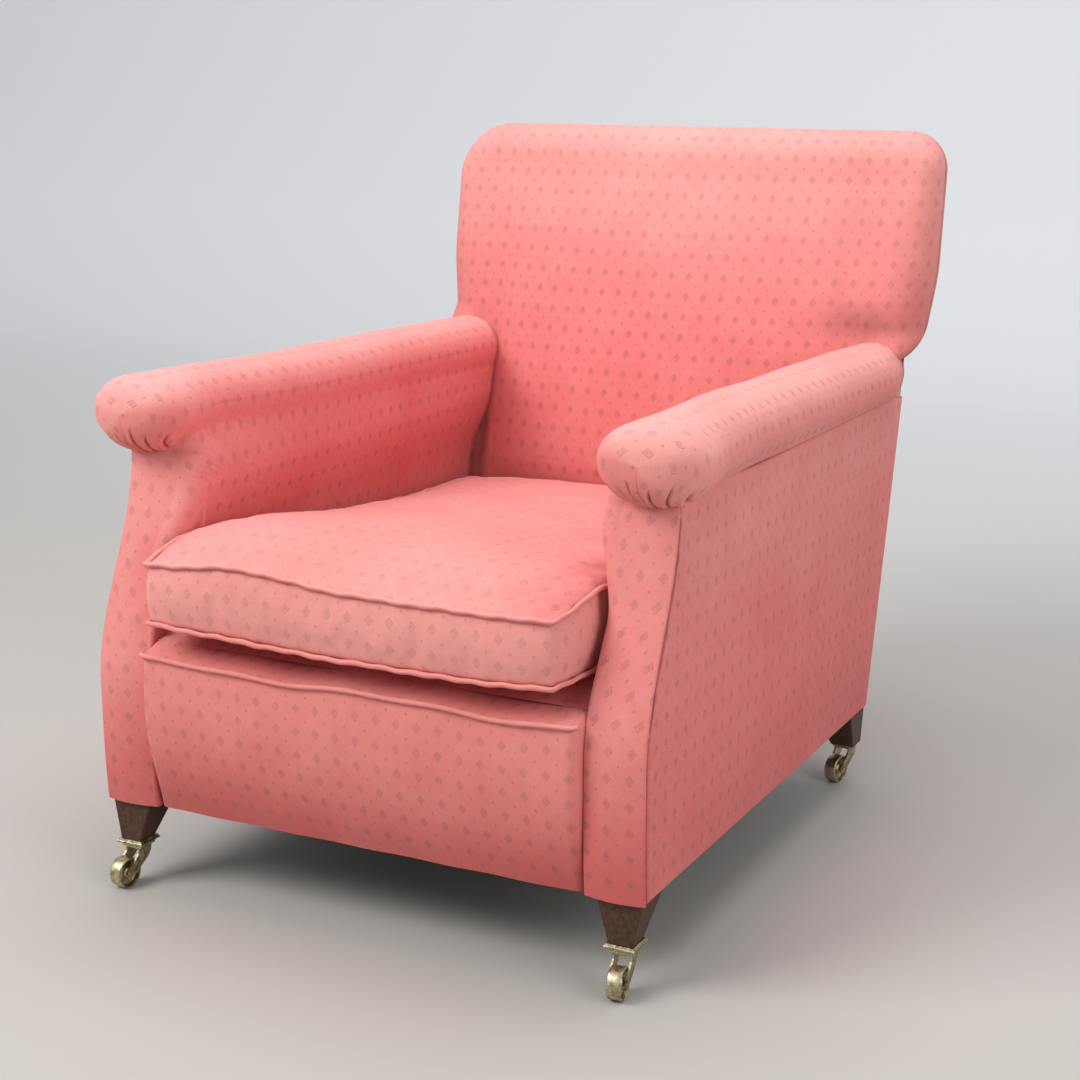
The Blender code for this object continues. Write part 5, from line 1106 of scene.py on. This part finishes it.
def stained_beech(name):
    n = Nodes(name)
    place = n.place()
    grain = n.noise(n.stretch(place, (230.0, 230.0, 22.0)), 1.0, 4.0, 0.6)
    scuffs = n.noise(place, 160.0, 6.0, 0.7)
    edges = n.add("NewGeometry").outputs["Pointiness"]
    worn = n.math("MULTIPLY", n.range(edges, 0.52, 0.6), n.range(scuffs, 0.35, 0.6), True)
    colour = n.mix(n.range(grain, 0.35, 0.65), STAIN, tuple(c * 1.8 for c in STAIN))
    colour = n.mix(n.math("MULTIPLY", n.range(scuffs, 0.62, 0.72), 0.5), colour, WORN_STAIN)
    n.shade("Base Color", n.mix(worn, colour, WORN_STAIN))
    n.shade("Roughness", n.range(scuffs, 0.3, 0.7, 0.38, 0.6))
    n.shade("Specular IOR Level", 0.35)
    n.shade("Normal", n.bump(n.math("ADD", grain, scuffs), 0.00025))
    return n.material


LEG_WOOD = stained_beech("stained_beech")
FEET = ["%s_%s" % (end, side) for end in ("front", "rear") for side in SIDES]


def dress(node, material):
    """Give a CAD node its better material."""
    slots = frame["nodes"][node].data.materials
    slots.clear()
    slots.append(material)


for foot in FEET:
    dress("leg_" + foot, LEG_WOOD)


# Castors
# Cast brass gone dull: a moulded plate on each front leg, a thin one on the rear, a forked horn
# that swivels on its pin, and a turned wheel whose tread is rubbed bright.

BRASS = (0.28, 0.21, 0.12)
BRIGHT_BRASS = (0.66, 0.59, 0.38)
BRASS_DIRT = (0.06, 0.04, 0.022)
WHEEL_RADIUS = 0.019
WHEEL_HALF = 0.00825


def old_brass(name, bright):
    n = Nodes(name)
    place = n.place()
    patina = n.noise(place, 130.0, 5.0, 0.62)
    grime = n.noise(place, 420.0, 4.0, 0.6)
    edges = n.add("NewGeometry").outputs["Pointiness"]
    rubbed = n.math("ADD", n.range(edges, 0.5, 0.58), bright, True)
    colour = n.mix(n.math("MULTIPLY", rubbed, n.range(patina, 0.3, 0.6), True), BRASS, BRIGHT_BRASS)
    darkening = n.math("MULTIPLY", n.range(grime, 0.45, 0.7), 0.75 - 0.5 * bright)
    n.shade("Base Color", n.mix(darkening, colour, BRASS_DIRT))
    n.shade("Metallic", 1.0)
    n.shade("Roughness", n.range(patina, 0.3, 0.7, 0.26, 0.52))
    n.shade("Normal", n.bump(n.math("ADD", patina, grime), 0.0002))
    return n.material


OLD_BRASS = old_brass("old_brass", 0.08)
TREAD_BRASS = old_brass("tread_brass", 0.8)


def wheel_points(centre, axle):
    """Turned profile of the wheel carried round its axle: bore, hub, web, rim and crowned tread."""
    profile = np.array([(0.0029, 0.0066), (0.0058, 0.0066), (0.0066, 0.0058), (0.0078, 0.0024),
                        (0.01, 0.0018), (0.014, 0.0018), (0.0158, 0.0028), (0.0164, 0.007),
                        (0.017, WHEEL_HALF), (0.0182, WHEEL_HALF), (0.0188, 0.0076),
                        (WHEEL_RADIUS, 0.0062), (WHEEL_RADIUS, 0.0)])
    profile = np.concatenate([profile, (profile * [1, -1])[-2::-1], profile[:1]])
    turn = np.linspace(0, 2 * np.pi, 64, endpoint=False)
    axle = np.asarray(axle) / np.linalg.norm(axle)
    up = np.array([0.0, 0.0, 1.0])
    ahead = np.cross(axle, up)
    ring = np.cos(turn)[None, :, None] * up + np.sin(turn)[None, :, None] * ahead
    return centre + profile[:, 0][:, None, None] * ring + profile[:, 1][:, None, None] * axle


for joint in frame["joints"]:
    if not joint["name"].startswith("castor_roll_"):
        continue
    foot = joint["name"].replace("castor_roll_", "")
    points = wheel_points(np.array(joint["pos_m"]), joint["axis"])
    wheel = surface("wheel_" + foot, points, np.zeros(2), 0.0, 0.0, TREAD_BRASS,
                    body="wheel_" + foot, around=True, flip=True)
    wheel.data.set_sharp_from_angle(angle=math.radians(50))
    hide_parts("castor_wheel_" + foot)
    dress("castor_fork_" + foot, OLD_BRASS)
    dress("castor_plate_" + foot, OLD_BRASS)


# Frame, springs and linings
# Seen only from below or where the covers are off: sawn beech, jute webbing and hessian, steel
# springs, and a black cotton lining tacked under the seat.

def sawn_beech():
    n = Nodes("sawn_beech")
    place = n.place()
    grain = n.noise(n.stretch(place, (26.0, 260.0, 260.0)), 1.0, 5.0, 0.6)
    colour = n.mix(n.range(grain, 0.3, 0.7), (0.42, 0.29, 0.17), (0.6, 0.45, 0.29))
    n.shade("Base Color", colour)
    n.shade("Roughness", 0.7)
    n.shade("Normal", n.bump(grain, 0.0003))
    return n.material


def woven(name, colour, dark, pitch):
    """Plain weave: two crossed waves whose higher one is the thread on top."""
    n = Nodes(name)
    place = n.place()
    split = n.split(place)
    waves = [n.math("SINE", n.math("MULTIPLY", split[axis], 2 * math.pi / pitch)) for axis in "XY"]
    weave = n.math("MULTIPLY", *waves)
    uneven = n.noise(place, 90.0, 4.0, 0.6)
    tone = n.range(n.math("ADD", weave, uneven), -0.6, 1.6)
    n.shade("Base Color", n.mix(tone, dark, colour))
    n.shade("Roughness", 0.95)
    n.shade("Normal", n.bump(weave, pitch * 0.15))
    return n.material


def spring_wire():
    n = Nodes("spring_wire")
    rust = n.noise(n.place(), 220.0, 4.0, 0.6)
    colour = n.mix(n.range(rust, 0.5, 0.7), (0.3, 0.29, 0.28), (0.16, 0.07, 0.035))
    n.shade("Base Color", colour)
    n.shade("Metallic", 0.9)
    n.shade("Roughness", n.range(rust, 0.4, 0.7, 0.35, 0.8))
    return n.material


HIDDEN = {
    "beech_frame": sawn_beech(),
    "jute": woven("jute", (0.44, 0.34, 0.21), (0.22, 0.16, 0.09), 0.0024),
    "spring_steel": spring_wire(),
    "black_cotton": woven("black_cotton", (0.03, 0.029, 0.031), (0.01, 0.01, 0.011), 0.0011),
}
for part in frame["record"]["subparts"]:
    if part["material_slot"] in HIDDEN:
        dress(part["node"], HIDDEN[part["material_slot"]])


# Studio
# A pale grey floor that curves up to a paler wall, one large soft light from the left and above,
# a weaker one from the right, and an even sky.

FLOOR = (0.46, 0.438, 0.412)
WALL = (0.64, 0.65, 0.672)
GLOW = 0.34
FLOOR_START = -6.0
FLOOR_END = 3.4
SWEEP = 1.6
WALL_HEIGHT = 8.0
STAGE_HALF = 12.0
LIGHT_TARGET = Vector((0.0, 0.0, 0.4))
LAMPS = (("key_light", (-2.2, -2.8, 3.2), (2.4, 2.0), 152.0, (1.0, 0.985, 0.965)),
         ("top_light", (0.2, 0.4, 3.8), (3.2, 2.6), 80.0, (0.98, 0.99, 1.0)),
         ("fill_light", (3.2, -1.2, 1.8), (1.8, 1.8), 38.0, (1.0, 0.99, 0.98)))


def backdrop():
    """Sheet whose profile runs along the floor and curves up into the wall."""
    s = np.linspace(0, 1, 60)
    turn = np.pi / 2 * unit((s - 0.6) / 0.2)
    y = FLOOR_START + (FLOOR_END - FLOOR_START) * unit(s / 0.6) + SWEEP * np.sin(turn)
    z = SWEEP * (1 - np.cos(turn)) + WALL_HEIGHT * unit((s - 0.8) / 0.2)
    x = np.linspace(-STAGE_HALF, STAGE_HALF, 30)
    points = np.stack(np.broadcast_arrays(x[None, :], y[:, None], z[:, None]), -1)
    n = Nodes("studio_paper")
    away = n.split(n.place())["Y"]
    tone = n.mix(n.range(away, 0.5, FLOOR_END), FLOOR, WALL)
    n.shade("Base Color", tone)
    n.shade("Emission Color", tone)
    n.shade("Emission Strength", n.range(away, 1.0, FLOOR_END + 1, 0.0, GLOW))
    n.shade("Roughness", 0.6)
    n.shade("Specular IOR Level", 0.25)
    mesh = grid_mesh("backdrop", points, n.material)
    mesh.shade_smooth()
    new_object("backdrop", mesh)


backdrop()
for name, place, size, power, colour in LAMPS:
    light = bpy.data.lights.new(name, "AREA")
    light.shape = "RECTANGLE"
    light.size, light.size_y = size
    light.energy = power
    light.color = colour
    lamp = new_object(name, light)
    lamp.location = place
    lamp.rotation_euler = (LIGHT_TARGET - Vector(place)).to_track_quat("-Z", "Y").to_euler()
sky = bpy.data.worlds.new("studio")
sky.use_nodes = True
sky.node_tree.nodes["Background"].inputs["Color"].default_value = (0.84, 0.86, 0.88, 1)
sky.node_tree.nodes["Background"].inputs["Strength"].default_value = 0.45
bpy.context.scene.world = sky
bpy.context.scene.view_settings.view_transform = "Standard"


# Camera
# Standing height, in front and to the sitter's left, looking a little down.

camera = bpy.data.cameras.new("camera")
camera.lens = 67.46
camera.sensor_width = 36.0
camera.clip_end = 60.0
viewer = new_object("camera", camera)
viewer.location = (1.1683, -2.3222, 1.0104)
viewer.rotation_euler = (math.radians(90 - 13.92), 0.0, math.radians(26.96))
bpy.context.scene.camera = viewer

bpy.context.view_layer.update()
